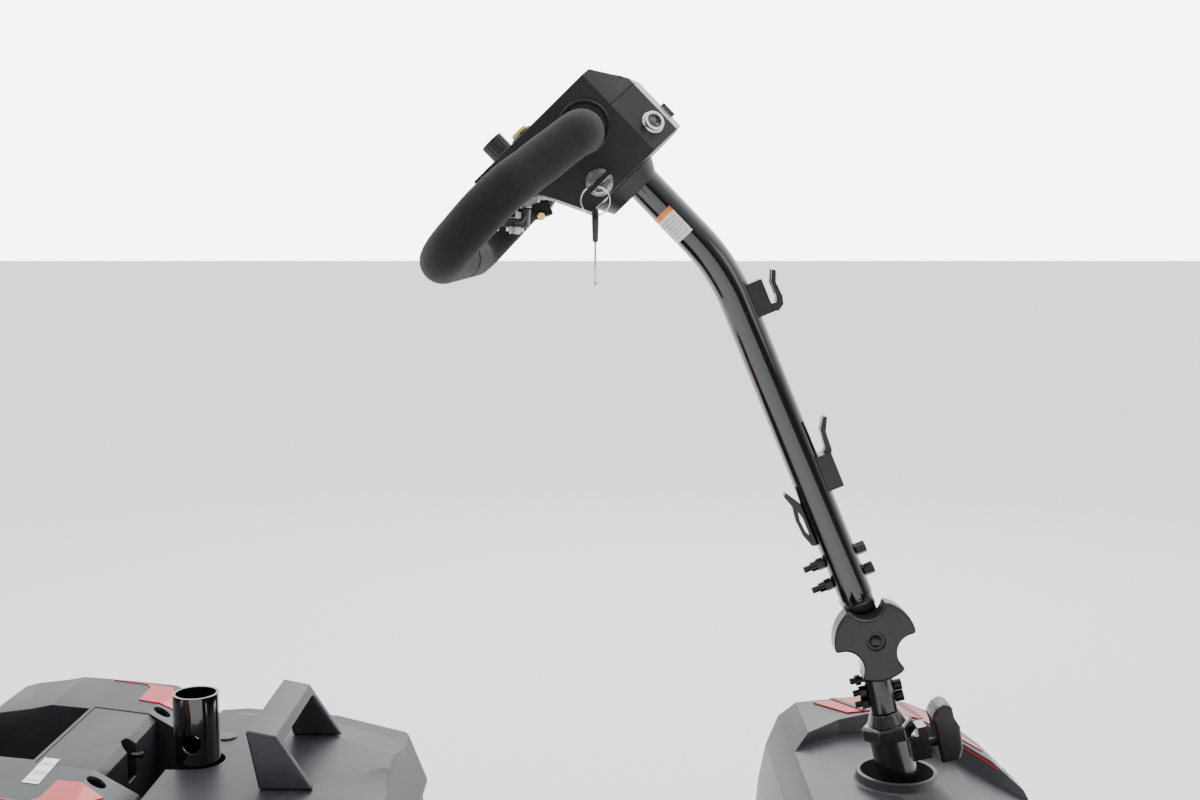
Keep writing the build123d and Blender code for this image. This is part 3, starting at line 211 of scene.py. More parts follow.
class Surface(Graph):
    """A material's shader graph with the patterns that the finishes share."""

    def __init__(self, name: str, colour: Colour, roughness: float, fixed: Optional[dict] = None) -> None:
        """Start a material.

        Args:
            name: The material's name.
            colour: Its base colour, linear.
            roughness: Its base roughness.
            fixed: Values set directly on the shader's own sockets.
        """
        self.material = bpy.data.materials.new(name)
        self.material.use_nodes = True
        super().__init__(self.material.node_tree)
        self.shader = self.tree.nodes["Principled BSDF"]
        self.material.diffuse_color = (*colour, 1.0)
        self.feed(self.shader.inputs["Base Color"], colour)
        self.feed(self.shader.inputs["Roughness"], roughness)
        for socket, value in (fixed or {}).items():
            self.feed(self.shader.inputs[socket], value)
        self.place = self.node("ShaderNodeTexCoord").outputs["Object"]

    def noise(self, scale: float, detail: float = 3.0, rough: float = 0.5) -> Value:
        """Soft noise over the piece, from 0 to 1; scale is in cells per metre."""
        made = self.node("ShaderNodeTexNoise", None,
                         {"Vector": self.place, "Scale": scale, "Detail": detail, "Roughness": rough})
        return Value(self, made.outputs["Fac"])

    def cells(self, scale: float) -> Value:
        """Distance within small cells; scale is in cells per metre."""
        made = self.node("ShaderNodeTexVoronoi", None, {"Vector": self.place, "Scale": scale})
        return Value(self, made.outputs["Distance"])

    def along(self, axis: int, vector: Optional[bpy.types.NodeSocket] = None) -> Value:
        """One coordinate of the piece, in metres."""
        made = self.node("ShaderNodeSeparateXYZ", None, {0: vector or self.place})
        return Value(self, made.outputs[axis])

    def mixed(self, share: object, first: object, second: object) -> bpy.types.NodeSocket:
        """A colour between first and second."""
        made = self.node("ShaderNodeMix", {"data_type": "RGBA"}, {0: share, 6: first, 7: second})
        return made.outputs[2]

    def edges(self, radius: float) -> tuple[bpy.types.NodeSocket, Value]:
        """Round the edges over in shading, and find where they are.

        Args:
            radius: The radius of the rounding, in metres.

        Returns:
            The rounded normal, and a mask that is 1 at an edge.
        """
        bevel = self.node("ShaderNodeBevel", {"samples": 4}, {"Radius": radius})
        true = self.node("ShaderNodeNewGeometry").outputs["True Normal"]
        dot = self.node("ShaderNodeVectorMath", {"operation": "DOT_PRODUCT"}, {0: bevel.outputs[0], 1: true})
        mask = (1.0 - Value(self, dot.outputs["Value"])).between(0.01, 0.12)
        return bevel.outputs[0], mask

    def relief(self, height: Value, depth: float, normal: Optional[bpy.types.NodeSocket] = None) -> None:
        """Raise the surface by height, depth metres at 1, over an optional normal."""
        inputs = {"Height": height, "Distance": depth, "Strength": 1.0}
        if normal is not None:
            inputs["Normal"] = normal
        bump = self.node("ShaderNodeBump", None, inputs)
        self.feed(self.shader.inputs["Normal"], bump.outputs[0])

    def paint(self, colour: object = None, roughness: object = None, metallic: object = None,
              coat: object = None) -> None:
        """Feed the sockets whose values change over the surface."""
        given = {"Base Color": colour, "Roughness": roughness, "Metallic": metallic, "Coat Weight": coat}
        for socket, value in given.items():
            if value is not None:
                self.feed(self.shader.inputs[socket], value)


def lighter(colour: Colour, factor: float) -> Colour:
    """The colour scaled by factor and held under 1."""
    return tuple(min(1.0, channel * factor) for channel in colour)


# ------------------------------------------------------------------ finishes
@dataclass(frozen=True)
class MouldedPlastic:
    """Injection-moulded plastic with a fine spark-eroded grain, polished edges and a painted highlight along them.
    """

    colour: Colour
    roughness: float = 0.42
    grain: float = 2600.0
    depth: float = 0.00004
    edge: float = 0.0008
    dust: float = 0.12
    gloss: float = 0.0
    shine: float = 0.35

    def build(self, name: str) -> bpy.types.Material:
        """Make the material."""
        s = Surface(name, self.colour, self.roughness,
                    {"Coat Weight": self.gloss, "Coat Roughness": 0.12, "Specular IOR Level": self.shine})
        normal, edge = s.edges(self.edge)
        grain = s.noise(self.grain, 2.0) * 0.7 + s.cells(self.grain * 0.6) * 0.5
        flow = s.noise(9.0, 4.0, 0.6)
        dust = s.noise(38.0, 6.0, 0.7).between(0.5, 0.8) * self.dust
        tone = s.mixed(flow, lighter(self.colour, 0.9), lighter(self.colour, 1.12))
        # Painted highlight: the base colour is lightened along the edges.
        painted_edge_highlight = s.mixed(edge * 0.3, tone, lighter(self.colour, 1.7))
        s.paint(colour=s.mixed(dust, painted_edge_highlight, (0.45, 0.44, 0.42)),
                roughness=self.roughness + (flow - 0.5) * 0.12 + dust * 0.8 - edge * 0.08 + grain * 0.04)
        s.relief(grain, self.depth, normal)
        return s.material


@dataclass(frozen=True)
class GlossPaint:
    """Stove enamel over steel, with a faint orange peel, fine rub marks and painted highlights on its edges."""

    colour: Colour
    roughness: float = 0.22
    coat: float = 1.0
    peel: float = 0.00003

    def build(self, name: str) -> bpy.types.Material:
        """Make the material."""
        s = Surface(name, self.colour, self.roughness,
                    {"Coat Weight": self.coat, "Coat Roughness": 0.04, "Specular IOR Level": 0.5})
        normal, edge = s.edges(0.0006)
        peel = s.noise(420.0, 2.0)
        rub = s.noise(60.0, 8.0, 0.75).between(0.55, 0.9)
        # Paler at the rub marks (wear) and at the edges (painted highlight).
        s.paint(colour=s.mixed(rub * 0.25 + edge * 0.2, self.colour, lighter(self.colour, 3.0)),
                roughness=self.roughness + rub * 0.25 + (peel - 0.5) * 0.03)
        s.relief(peel, self.peel, normal)
        return s.material


@dataclass(frozen=True)
class BareMetal:
    """Plated or bare metal with drawn lines, handling marks and dull patches."""

    colour: Colour
    roughness: float = 0.28
    line_scale: float = 700.0
    tarnish: float = 0.25

    def build(self, name: str) -> bpy.types.Material:
        """Make the material."""
        s = Surface(name, self.colour, self.roughness, {"Metallic": 1.0})
        normal, edge = s.edges(0.0004)
        stretch = s.node("ShaderNodeMapping", None, {"Vector": s.place, "Scale": (1.0, 0.06, 1.0)})
        lines = Value(s, s.node("ShaderNodeTexNoise", None,
                                {"Vector": stretch.outputs[0], "Scale": self.line_scale, "Detail": 4.0}).outputs[0])
        patch = s.noise(45.0, 5.0, 0.65).between(0.45, 0.8)
        s.paint(colour=s.mixed(patch * self.tarnish, self.colour, lighter(self.colour, 0.45)),
                roughness=self.roughness + patch * 0.22 + (lines - 0.5) * 0.12 - edge * 0.05)
        s.relief(lines, 0.00001, normal)
        return s.material


@dataclass(frozen=True)
class CastMetal:
    """Die-cast alloy with a pebbled skin."""

    colour: Colour
    roughness: float = 0.5

    def build(self, name: str) -> bpy.types.Material:
        """Make the material."""
        s = Surface(name, self.colour, self.roughness, {"Metallic": 0.85})
        normal, edge = s.edges(0.001)
        pebble = s.cells(900.0) + s.noise(300.0, 3.0) * 0.5
        grime = s.noise(25.0, 6.0, 0.7).between(0.5, 0.75)
        s.paint(colour=s.mixed(grime * 0.6, self.colour, (0.07, 0.065, 0.06)),
                roughness=self.roughness + grime * 0.25 - edge * 0.1 + pebble * 0.05)
        s.relief(pebble, 0.00012, normal)
        return s.material


@dataclass(frozen=True)
class SoftFoam:
    """Closed-cell grip foam: black, open pores at the skin and paler flecks."""

    colour: Colour = (0.0065, 0.0065, 0.0075)
    fleck: Colour = (0.035, 0.035, 0.037)

    def build(self, name: str) -> bpy.types.Material:
        """Make the material."""
        s = Surface(name, self.colour, 0.92, {"Specular IOR Level": 0.2, "Sheen Weight": 0.12,
                                              "Sheen Roughness": 0.5})
        pores = s.cells(1500.0).between(0.0, 0.55)
        flecks = (1.0 - s.cells(780.0).between(0.02, 0.3)) * s.noise(260.0, 2.0).between(0.42, 0.6)
        soft = s.noise(140.0, 4.0, 0.6)
        s.paint(colour=s.mixed(flecks * 0.85, s.mixed(soft, self.colour, lighter(self.colour, 2.2)), self.fleck),
                roughness=0.95 - flecks * 0.12 + (pores - 0.5) * 0.06)
        s.relief(pores * 0.8 + soft * 0.7, 0.00022)
        return s.material


@dataclass(frozen=True)
class WheelFinish:
    """A tyre on a moulded rim, parted at the bead by its distance from the axle."""

    centre: Point
    tyre_radius: float
    rim_lip: float = 0.0221

    def build(self, name: str) -> bpy.types.Material:
        """Make the material."""
        rubber, rim = (0.02, 0.02, 0.021), (0.16, 0.165, 0.17)
        s = Surface(name, rubber, 0.8)
        normal, edge = s.edges(0.0008)
        across = s.along(0) - self.centre[0]
        upward = s.along(2) - self.centre[2]
        radius = (across * across + upward * upward) ** 0.5
        tyre = radius > self.tyre_radius - self.rim_lip
        tread = radius.between(self.tyre_radius - 0.004, self.tyre_radius - 0.001) * tyre
        dust = s.noise(60.0, 6.0, 0.7).between(0.4, 0.75)
        rings = (radius * 2600.0).wave() * 0.5 + 0.5
        rim_tone = s.mixed(s.noise(12.0), lighter(rim, 0.85), lighter(rim, 1.15))
        rubber_tone = s.mixed(dust * 0.5 + tread * 0.3, rubber, (0.12, 0.115, 0.105))
        grain = s.noise(2200.0, 2.0)
        s.paint(colour=s.mixed(tyre, rim_tone, rubber_tone),
                roughness=0.4 + tyre * 0.42 + dust * 0.1 - edge * 0.06)
        s.relief(grain * 0.4 + rings * tyre * (1.0 - tread) * 0.8, 0.0001, normal)
        return s.material


@dataclass(frozen=True)
class DeckRubber:
    """The floor mat's rubber: fine pebble, dusty between its ribs and scuffed on top."""

    colour: Colour = (0.035, 0.035, 0.038)
    top: float = 0.12

    def build(self, name: str) -> bpy.types.Material:
        """Make the material."""
        s = Surface(name, self.colour, 0.78)
        normal, edge = s.edges(0.0006)
        pebble = s.cells(1100.0)
        high = s.along(2).between(self.top + 0.0022, self.top + 0.0033)
        dust = s.noise(30.0, 7.0, 0.7).between(0.42, 0.72) * (1.0 - high * 0.6)
        scuff = s.noise(220.0, 8.0, 0.8).between(0.58, 0.7) * high
        s.paint(colour=s.mixed(dust * 0.4 + scuff * 0.2 + edge * 0.1, self.colour, (0.17, 0.165, 0.155)),
                roughness=0.78 + dust * 0.12 - scuff * 0.15)
        s.relief(pebble + scuff * 0.5, 0.00012, normal)
        return s.material


@dataclass(frozen=True)
class PearlRed:
    """Deep red lacquer with a metallic fleck under a clear coat."""

    colour: Colour = (0.55, 0.004, 0.012)

    def build(self, name: str) -> bpy.types.Material:
        """Make the material."""
        s = Surface(name, self.colour, 0.25,
                    {"Coat Weight": 0.35, "Coat Roughness": 0.08, "Specular IOR Level": 0.25})
        normal, edge = s.edges(0.0006)
        fleck = (1.0 - s.cells(3500.0).between(0.0, 0.35)) * 0.5
        cloud = s.noise(18.0, 3.0)
        s.paint(colour=s.mixed(fleck + cloud * 0.25, lighter(self.colour, 0.8), lighter(self.colour, 1.6)),
                roughness=0.28 - fleck * 0.12 + edge * 0.05, metallic=fleck * 0.2)
        s.relief(s.noise(500.0, 1.0), 0.00002, normal)
        return s.material


@dataclass(frozen=True)
class PrintedLabel:
    """A white film label with a coloured head band and rows of plain bars."""

    band: Colour = (0.85, 0.22, 0.02)
    band_share: float = 0.16
    rows: int = 9

    def build(self, name: str) -> bpy.types.Material:
        """Make the material."""
        s = Surface(name, (0.8, 0.8, 0.78), 0.35, {"Coat Weight": 0.5, "Coat Roughness": 0.1})
        flat = s.node("ShaderNodeUVMap").outputs[0]
        across, up = s.along(0, flat), s.along(1, flat)
        head = up > 1.0 - self.band_share
        body = up.band(0.08, 1.0 - self.band_share - 0.05) * across.band(0.1, 0.9)
        row = (up * (self.rows * 2.0 * math.pi)).wave() > 0.35
        ragged = Value(s, s.node("ShaderNodeTexNoise", None, {"Vector": flat, "Scale": 16.0}).outputs[0]) > 0.44
        film = s.mixed(s.noise(30.0, 4.0), (0.74, 0.74, 0.72), (0.86, 0.86, 0.84))
        rows = s.mixed(body * row * ragged * 0.6, film, (0.12, 0.12, 0.13))
        s.paint(colour=s.mixed(head, rows, self.band), roughness=0.32 + s.noise(90.0, 4.0) * 0.12)
        s.relief(s.noise(240.0, 2.0), 0.00003)
        return s.material


@dataclass(frozen=True)
class GaugeFace:
    """The charge gauge: a dark window with a coloured arc and plain ticks."""

    centre: Point
    reach: float = 0.028
    strip_half: float = 0.003

    def build(self, name: str) -> bpy.types.Material:
        """Make the material."""
        s = Surface(name, (0.02, 0.02, 0.022), 0.12, {"Coat Weight": 1.0, "Coat Roughness": 0.03})
        y = s.along(1)
        window = abs(y) < self.reach
        tick = (y * 1256.0).wave() > 0.75
        share = y.between(-self.reach, self.reach)
        ramp = s.node("ShaderNodeValToRGB", {"stops": [(0.0, (0.6, 0.02, 0.02)), (0.35, (0.8, 0.5, 0.03)),
                                                       (0.7, (0.05, 0.45, 0.08))]}, {0: share})
        rise = s.along(0) - self.centre[0]
        strip = abs(rise) < self.strip_half
        s.paint(colour=s.mixed(window * strip * (0.35 + tick * 0.65), (0.02, 0.02, 0.022), ramp.outputs[0]),
                roughness=0.1 + s.noise(120.0, 4.0) * 0.12)
        s.relief(s.noise(400.0, 2.0), 0.00001)
        return s.material


@dataclass(frozen=True)
class ClearLens:
    """A lamp lens: smoked prismatic plastic."""

    colour: Colour = (0.02, 0.022, 0.025)

    def build(self, name: str) -> bpy.types.Material:
        """Make the material."""
        s = Surface(name, self.colour, 0.1, {"Coat Weight": 1.0, "Coat Roughness": 0.02})
        normal, edge = s.edges(0.0005)
        flute = s.cells(700.0)
        s.paint(colour=s.mixed(flute, lighter(self.colour, 0.6), self.colour),
                roughness=0.12 + flute * 0.15 - edge * 0.02)
        s.relief(flute, 0.0003, normal)
        return s.material


@dataclass(frozen=True)
class StudioFloor:
    """The pale, nearly even paper that the scooter stands on."""

    colour: Colour = (0.93, 0.93, 0.93)

    def build(self, name: str) -> bpy.types.Material:
        """Make the material."""
        s = Surface(name, self.colour, 0.9, {"Specular IOR Level": 0.2})
        s.paint(colour=s.mixed(s.noise(1.5, 3.0), lighter(self.colour, 0.985), self.colour))
        s.relief(s.noise(300.0, 3.0), 0.00005)
        return s.material


class Paintbox:
    """Every finish of the scooter, made once each and handed out by name."""

    def __init__(self) -> None:
        """Set the finishes that more than one piece uses."""
        self.made: dict[str, bpy.types.Material] = {}
        self.finishes = {
            "cover_grey": MouldedPlastic((0.040, 0.041, 0.046), 0.38, gloss=0.06, dust=0.02, edge=0.0014),
            "rear_grey": MouldedPlastic((0.021, 0.022, 0.026), 0.36, gloss=0.06, dust=0.02, edge=0.0014),
            "pack_grey": MouldedPlastic((0.026, 0.027, 0.032), 0.38, gloss=0.05, dust=0.03, edge=0.0014),
            "head_charcoal": MouldedPlastic((0.010, 0.0105, 0.013), 0.36, gloss=0.1, dust=0.015, edge=0.0012,
                                            shine=0.4),
            "black_satin": MouldedPlastic((0.008, 0.008, 0.009), 0.28, gloss=0.2, dust=0.02),
            "black_coarse": MouldedPlastic((0.016, 0.016, 0.018), 0.55, grain=1500.0, depth=0.00008, dust=0.04),
            "yellow_plastic": MouldedPlastic((0.72, 0.56, 0.02), 0.35, gloss=0.4, dust=0.03, edge=0.0005),
            "dark_inlay": MouldedPlastic((0.05, 0.052, 0.058), 0.4, dust=0.03, edge=0.0005),
            "tube_enamel": GlossPaint((0.004, 0.004, 0.0045), 0.12),
            "frame_enamel": GlossPaint((0.007, 0.007, 0.008), 0.25, 0.6, 0.00005),
            "black_oxide": BareMetal((0.035, 0.035, 0.037), 0.28, tarnish=0.4),
            "zinc": BareMetal((0.62, 0.61, 0.58), 0.3),
            "chrome": BareMetal((0.8, 0.8, 0.82), 0.09, tarnish=0.1),
            "brass": BareMetal((0.72, 0.48, 0.16), 0.25),
            "cast_alloy": CastMetal((0.5, 0.51, 0.52)),
            "grip_foam": SoftFoam(),
            "pearl_red": PearlRed(),
            "label_film": PrintedLabel(),
            "plain_label": PrintedLabel((0.75, 0.75, 0.73), 0.01, 3),
            "lens": ClearLens(),
        }

    def get(self, name: str, finish: object = None) -> bpy.types.Material:
        """The material of that name.

        Args:
            name: The finish's name.
            finish: A finish to make it from, where the paintbox has none of that name.

        Returns:
            The material, made on first use.
        """
        if name not in self.made:
            self.made[name] = (finish or self.finishes[name]).build(name)
        return self.made[name]


# ------------------------------------------------------------------ making pieces
class Workshop:
    """Turns meshes into finished pieces that ride on the scooter's bodies."""

    def __init__(self, paintbox: Paintbox) -> None:
        """Keep the paintbox and the list of pieces made."""
        self.paintbox = paintbox
        self.pieces: list[str] = []

    def dress(self, node: str, finish: str, made: object = None) -> None:
        """Give a CAD node its material."""
        mesh = frame["nodes"][node].data
        mesh.materials.clear()
        mesh.materials.append(self.paintbox.get(finish, made))

    def piece(self, name: str, source: bmesh.types.BMesh, finish: str, body: str, slot: str,
              bevel: float = 0.0, smooth: float = 35.0) -> bpy.types.Object:
        """Finish a piece from a bmesh whose place is in its vertices.

        Args:
            name: The piece's name.
            source: Its geometry, which is freed.
            finish: The name of its material.
            body: The CAD body that it rides on.
            slot: The record's material slot; not used.
            bevel: The width of its rounded edges, in metres.
            smooth: The angle under which faces shade as one, in degrees.

        Returns:
            The new object.
        """
        mesh = bpy.data.meshes.new(name)
        source.to_mesh(mesh)
        source.free()
        obj = bpy.data.objects.new(name, mesh)
        bpy.context.scene.collection.objects.link(obj)
        mesh.materials.append(self.paintbox.get(finish))
        if bevel:
            self._bevel(obj, bevel, smooth)
        self._shade(obj, smooth)
        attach(obj, body)
        self.pieces.append(name)
        LOG.info("piece %s rides on %s", name, body)
        return obj

    def _bevel(self, obj: bpy.types.Object, width: float, angle: float, segments: int = 3) -> None:
        """Round an object's edges with a live Bevel modifier."""
        tool = obj.modifiers.new("Rounding", "BEVEL")
        tool.width = width
        tool.segments = segments
        tool.limit_method = "ANGLE"
        tool.angle_limit = math.radians(angle)
        tool.use_clamp_overlap = True
        tool.miter_outer = "MITER_ARC"
        tool.harden_normals = False

    def _shade(self, obj: bpy.types.Object, angle: float) -> None:
        """Shade smooth across edges flatter than angle degrees."""
        mesh = obj.data
        mesh.polygons.foreach_set("use_smooth", [True] * len(mesh.polygons))
        mesh.set_sharp_from_angle(angle=math.radians(angle))

    def rounded(self, node: str, finish: str, slot: str, width: float, angle: float = 12.0,
                segments: int = 3) -> bpy.types.Object:
        """A copy of a CAD node with its edges truly rounded, standing for the node.

        Args:
            node: The CAD node.
            finish: The name of its material.
            slot: The record's material slot; handed to piece, which does not use it.
            width: The width of the rounding, in metres.
            angle: Edges sharper than this are rounded, in degrees.
            segments: Faces across each rounding.

        Returns:
            The new piece.
        """
        source = bmesh.new()
        source.from_mesh(frame["nodes"][node].data)
        bmesh.ops.remove_doubles(source, verts=source.verts, dist=0.00002)
        bmesh.ops.dissolve_limit(source, angle_limit=math.radians(1.5), verts=source.verts, edges=source.edges)
        body = frame["nodes"][node]["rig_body"]
        obj = self.piece(f"{node}_skin", source, finish, body, slot, 0.0, 38.0)
        self._bevel(obj, width, angle, segments)
        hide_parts(node)
        return obj

    def repeated(self, name: str, tree: "Repeater", finish: str, body: str, slot: str) -> bpy.types.Object:
        """A piece made by a Geometry Nodes tree and turned into a plain mesh.

        Args:
            name: The piece's name.
            tree: The repeater with its sizes.
            finish: The name of its material.
            body: The CAD body that it rides on.
            slot: The record's material slot; handed to piece, which does not use it.

        Returns:
            The new object.
        """
        carrier = bpy.data.objects.new(f"{name}_carrier", bpy.data.meshes.new(f"{name}_carrier"))
        bpy.context.scene.collection.objects.link(carrier)
        tree.attach(carrier, self.paintbox.get(finish))
        graph = bpy.context.evaluated_depsgraph_get()
        mesh = bpy.data.meshes.new_from_object(carrier.evaluated_get(graph))
        bpy.data.objects.remove(carrier)
        source = bmesh.new()
        source.from_mesh(mesh)
        bpy.data.meshes.remove(mesh)
        bmesh.ops.recalc_face_normals(source, faces=source.faces)
        return self.piece(name, source, finish, body, slot, 0.0, 30.0)


def pitch(start: Point, end: Point, count: int) -> Point:
    """The step between neighbours, where count of them reach from start to end."""
    return tuple((b - a) / max(1, count - 1) for a, b in zip(start, end))


class Repeater:
    """A Geometry Nodes tree that sets blocks or studs in rows, grids and rings."""

    def __init__(self, name: str) -> None:
        """Start the tree with its material input."""
        self.group = bpy.data.node_groups.new(name, "GeometryNodeTree")
        self.graph = Graph(self.group)
        self.values: dict[str, object] = {}
        self.group.interface.new_socket("Geometry", in_out="OUTPUT", socket_type="NodeSocketGeometry")
        self.group.interface.new_socket("Finish", in_out="INPUT", socket_type="NodeSocketMaterial")

    def sizes(self, given: dict[str, object]) -> dict[str, bpy.types.NodeSocket]:
        """Add named inputs for the sizes, and return their sockets inside the tree."""
        kinds = {int: "NodeSocketInt", float: "NodeSocketFloat", tuple: "NodeSocketVector"}
        for name, value in given.items():
            self.group.interface.new_socket(name, in_out="INPUT", socket_type=kinds[type(value)])
        self.values = given
        self.entry = self.graph.node("NodeGroupInput")
        return {name: self.entry.outputs[name] for name in given}

    def stamp(self, points: bpy.types.NodeSocket, shape: bpy.types.NodeSocket, turn: object,
              place: object, tilt: object) -> None:
        """Put shape on every point, then place the lot and close the tree.

        Args:
            points: Where the copies go.
            shape: The geometry that is repeated.
            turn: The rotation of each copy.
            place: The translation of the whole.
            tilt: The rotation of the whole.
        """
        node = self.graph.node
        copies = node("GeometryNodeInstanceOnPoints", None, {"Points": points, "Instance": shape, "Rotation": turn})
        moved = node("GeometryNodeTransform", None,
                     {"Geometry": copies.outputs[0], "Translation": place, "Rotation": tilt})
        real = node("GeometryNodeRealizeInstances", None, {"Geometry": moved.outputs[0]})
        painted = node("GeometryNodeSetMaterial", None,
                       {"Geometry": real.outputs[0], "Material": self.entry.outputs["Finish"]})
        node("NodeGroupOutput", None, {0: painted.outputs[0]})

    def line(self, sizes: dict[str, bpy.types.NodeSocket]) -> bpy.types.Node:
        """A row of points from the tree's count, start and step."""
        return self.graph.node("GeometryNodeMeshLine", {"mode": "OFFSET"},
                               {"Count": sizes["Count"], "Start Location": sizes["Start"], "Offset": sizes["Step"]})

    def attach(self, carrier: bpy.types.Object, material: bpy.types.Material) -> None:
        """Put the tree on an object, with each input set by its socket's identifier."""
        tool = carrier.modifiers.new("Repeat", "NODES")
        tool.node_group = self.group
        given = {**self.values, "Finish": material}
        for item in self.group.interface.items_tree:
            if item.item_type == "SOCKET" and item.in_out == "INPUT":
                tool[item.identifier] = given[item.name]


class RingRepeater(Repeater):
    """Blocks set in a ring, each facing outwards, for tread lugs, ribs and bolt circles."""

    def __init__(self, name: str, count: int, radius: float, block: Point, centre: Point, axis: Axis,
                 slant: float = 0.0) -> None:
        """Build the ring.

        Args:
            name: The tree's name.
            count: How many blocks.
            radius: The ring's radius, in metres.
            block: Each block's size outwards, round the ring and along the axis.
            centre: The ring's centre.
            axis: The axis that it turns about.
            slant: How far each block is skewed from the axis, in degrees.
        """
        super().__init__(name)
        sizes = self.sizes({"Count": count, "Radius": radius, "Block": block, "Centre": centre,
                            "Tilt": axis.value, "Slant": math.radians(slant)})
        node = self.graph.node
        ring = node("GeometryNodeMeshCircle", None, {"Vertices": sizes["Count"], "Radius": sizes["Radius"]})
        cube = node("GeometryNodeMeshCube", None, {"Size": sizes["Block"]})
        lean = node("ShaderNodeCombineXYZ", None, {0: sizes["Slant"]})
        skewed = node("GeometryNodeTransform", None, {"Geometry": cube.outputs[0], "Rotation": lean.outputs[0]})
        where = node("GeometryNodeInputPosition")
        facing = node("FunctionNodeAlignRotationToVector", {"axis": "X"}, {"Vector": where.outputs[0]})
        self.stamp(ring.outputs[0], skewed.outputs[0], facing.outputs[0], sizes["Centre"], sizes["Tilt"])


class GridRepeater(Repeater):
    """Low round studs set in a grid, for the deck's grip pattern."""

    def __init__(self, name: str, columns: int, rows: int, spread: tuple[float, float], stud: float,
                 height: float, centre: Point) -> None:
        """Build the grid.

        Args:
            name: The tree's name.
            columns: Studs along X.
            rows: Studs along Y.
            spread: The grid's length along X and Y.
            stud: Each stud's radius.
            height: Each stud's height.
            centre: The middle of the grid, at half the studs' height.
        """
        super().__init__(name)
        sizes = self.sizes({"Columns": columns, "Rows": rows, "Length": spread[0], "Width": spread[1],
                            "Stud": stud, "Height": height, "Centre": centre})
        node = self.graph.node
        grid = node("GeometryNodeMeshGrid", None, {"Size X": sizes["Length"], "Size Y": sizes["Width"],
                                                   "Vertices X": sizes["Columns"], "Vertices Y": sizes["Rows"]})
        disc = node("GeometryNodeMeshCylinder", None, {"Vertices": 10, "Radius": sizes["Stud"],
                                                       "Depth": sizes["Height"]})
        self.stamp(grid.outputs[0], disc.outputs[0], (0.0, 0.0, 0.0), sizes["Centre"], (0.0, 0.0, 0.0))


class PointRepeater(Repeater):
    """Domed screw heads on a line, turned to face along a direction."""

    def __init__(self, name: str, start: Point, end: Point, count: int, radius: float, height: float,
                 facing: Point) -> None:
        """Build the line of screws.

        Args:
            name: The tree's name.
            start: The first screw's place.
            end: The last screw's place.
            count: How many screws.
            radius: Each head's radius.
            height: How far each head stands out.
            facing: The direction that the heads face.
        """
        super().__init__(name)
        sizes = self.sizes({"Count": count, "Start": start, "Step": pitch(start, end, count),
                            "Radius": radius, "Height": height, "Facing": facing})
        node = self.graph.node
        line = self.line(sizes)
        head = node("GeometryNodeMeshUVSphere", None, {"Segments": 14, "Rings": 8, "Radius": sizes["Radius"]})
        flat = node("ShaderNodeMath", {"operation": "DIVIDE"}, {0: sizes["Height"], 1: sizes["Radius"]})
        squat = node("ShaderNodeCombineXYZ", None, {0: 1.0, 1: 1.0, 2: flat.outputs[0]})
        dome = node("GeometryNodeTransform", None, {"Geometry": head.outputs[0], "Scale": squat.outputs[0]})
        turn = node("FunctionNodeAlignRotationToVector", {"axis": "Z"}, {"Vector": sizes["Facing"]})
        self.stamp(line.outputs[0], dome.outputs[0], turn.outputs[0], (0.0, 0.0, 0.0), (0.0, 0.0, 0.0))


class RodRepeater(Repeater):
    """Round ribs that lie along Y, set in a row, for a grip or a moulded edge."""

    def __init__(self, name: str, start: Point, end: Point, count: int, radius: float, length: float) -> None:
        """Build the row.

        Args:
            name: The tree's name.
            start: The first rib's middle.
            end: The last rib's middle.
            count: How many ribs.
            radius: Each rib's radius.
            length: Each rib's length.
        """
        super().__init__(name)
        sizes = self.sizes({"Count": count, "Start": start, "Step": pitch(start, end, count),
                            "Radius": radius, "Length": length})
        node = self.graph.node
        line = self.line(sizes)
        rod = node("GeometryNodeMeshCylinder", None, {"Vertices": 16, "Radius": sizes["Radius"],
                                                      "Depth": sizes["Length"]})
        self.stamp(line.outputs[0], rod.outputs[0], Axis.LATERAL.value, (0.0, 0.0, 0.0), (0.0, 0.0, 0.0))


# ------------------------------------------------------------------ shapes
@dataclass(frozen=True)
class LeanFrame:
    """A frame in the scooter's middle plane, leaning back by an angle."""

    x: float
    z: float
    lean: float

    def at(self, u: float, y: float, w: float) -> Vector:
        """The point at u along the frame's front, y to the left and w along its lean."""
        c, s = math.cos(math.radians(self.lean)), math.sin(math.radians(self.lean))
        return Vector((self.x + u * c - w * s, y, self.z + u * s + w * c))

    def matrix(self) -> Matrix:
        """The frame as a matrix, for placing whole meshes."""
        c, s = math.cos(math.radians(self.lean)), math.sin(math.radians(self.lean))
        return Matrix(((c, 0, -s, self.x), (0, 1, 0, 0), (s, 0, c, self.z), (0, 0, 0, 1)))


HEAD = LeanFrame(0.13496, 0.80738, 44.2)
STEER = LeanFrame(0.3435, 0.398, 12.7)


def facing(origin: Vector, direction: Vector) -> Matrix:
    """A placing matrix whose Z looks along direction from origin."""
    turn = direction.normalized().to_track_quat("Z", "Y").to_matrix().to_4x4()
    return Matrix.Translation(origin) @ turn


def box(size: Point, place: Matrix) -> bmesh.types.BMesh:
    """A closed box of the given size, centred on a placing matrix."""
    made = bmesh.new()
    bmesh.ops.create_cube(made, size=1.0, matrix=place @ Matrix.Diagonal((*size, 1.0)))
    return made


def skin(made: bmesh.types.BMesh, rings: Sequence[Sequence[bmesh.types.BMVert]]) -> None:
    """Join rings of corners with walls, and close both ends."""
    steps = len(rings[0])
    for low, high in zip(rings, rings[1:]):
        for k in range(steps):
            n = (k + 1) % steps
            made.faces.new((low[k], low[n], high[n], high[k]))
    made.faces.new(list(reversed(rings[0])))
    made.faces.new(rings[-1])


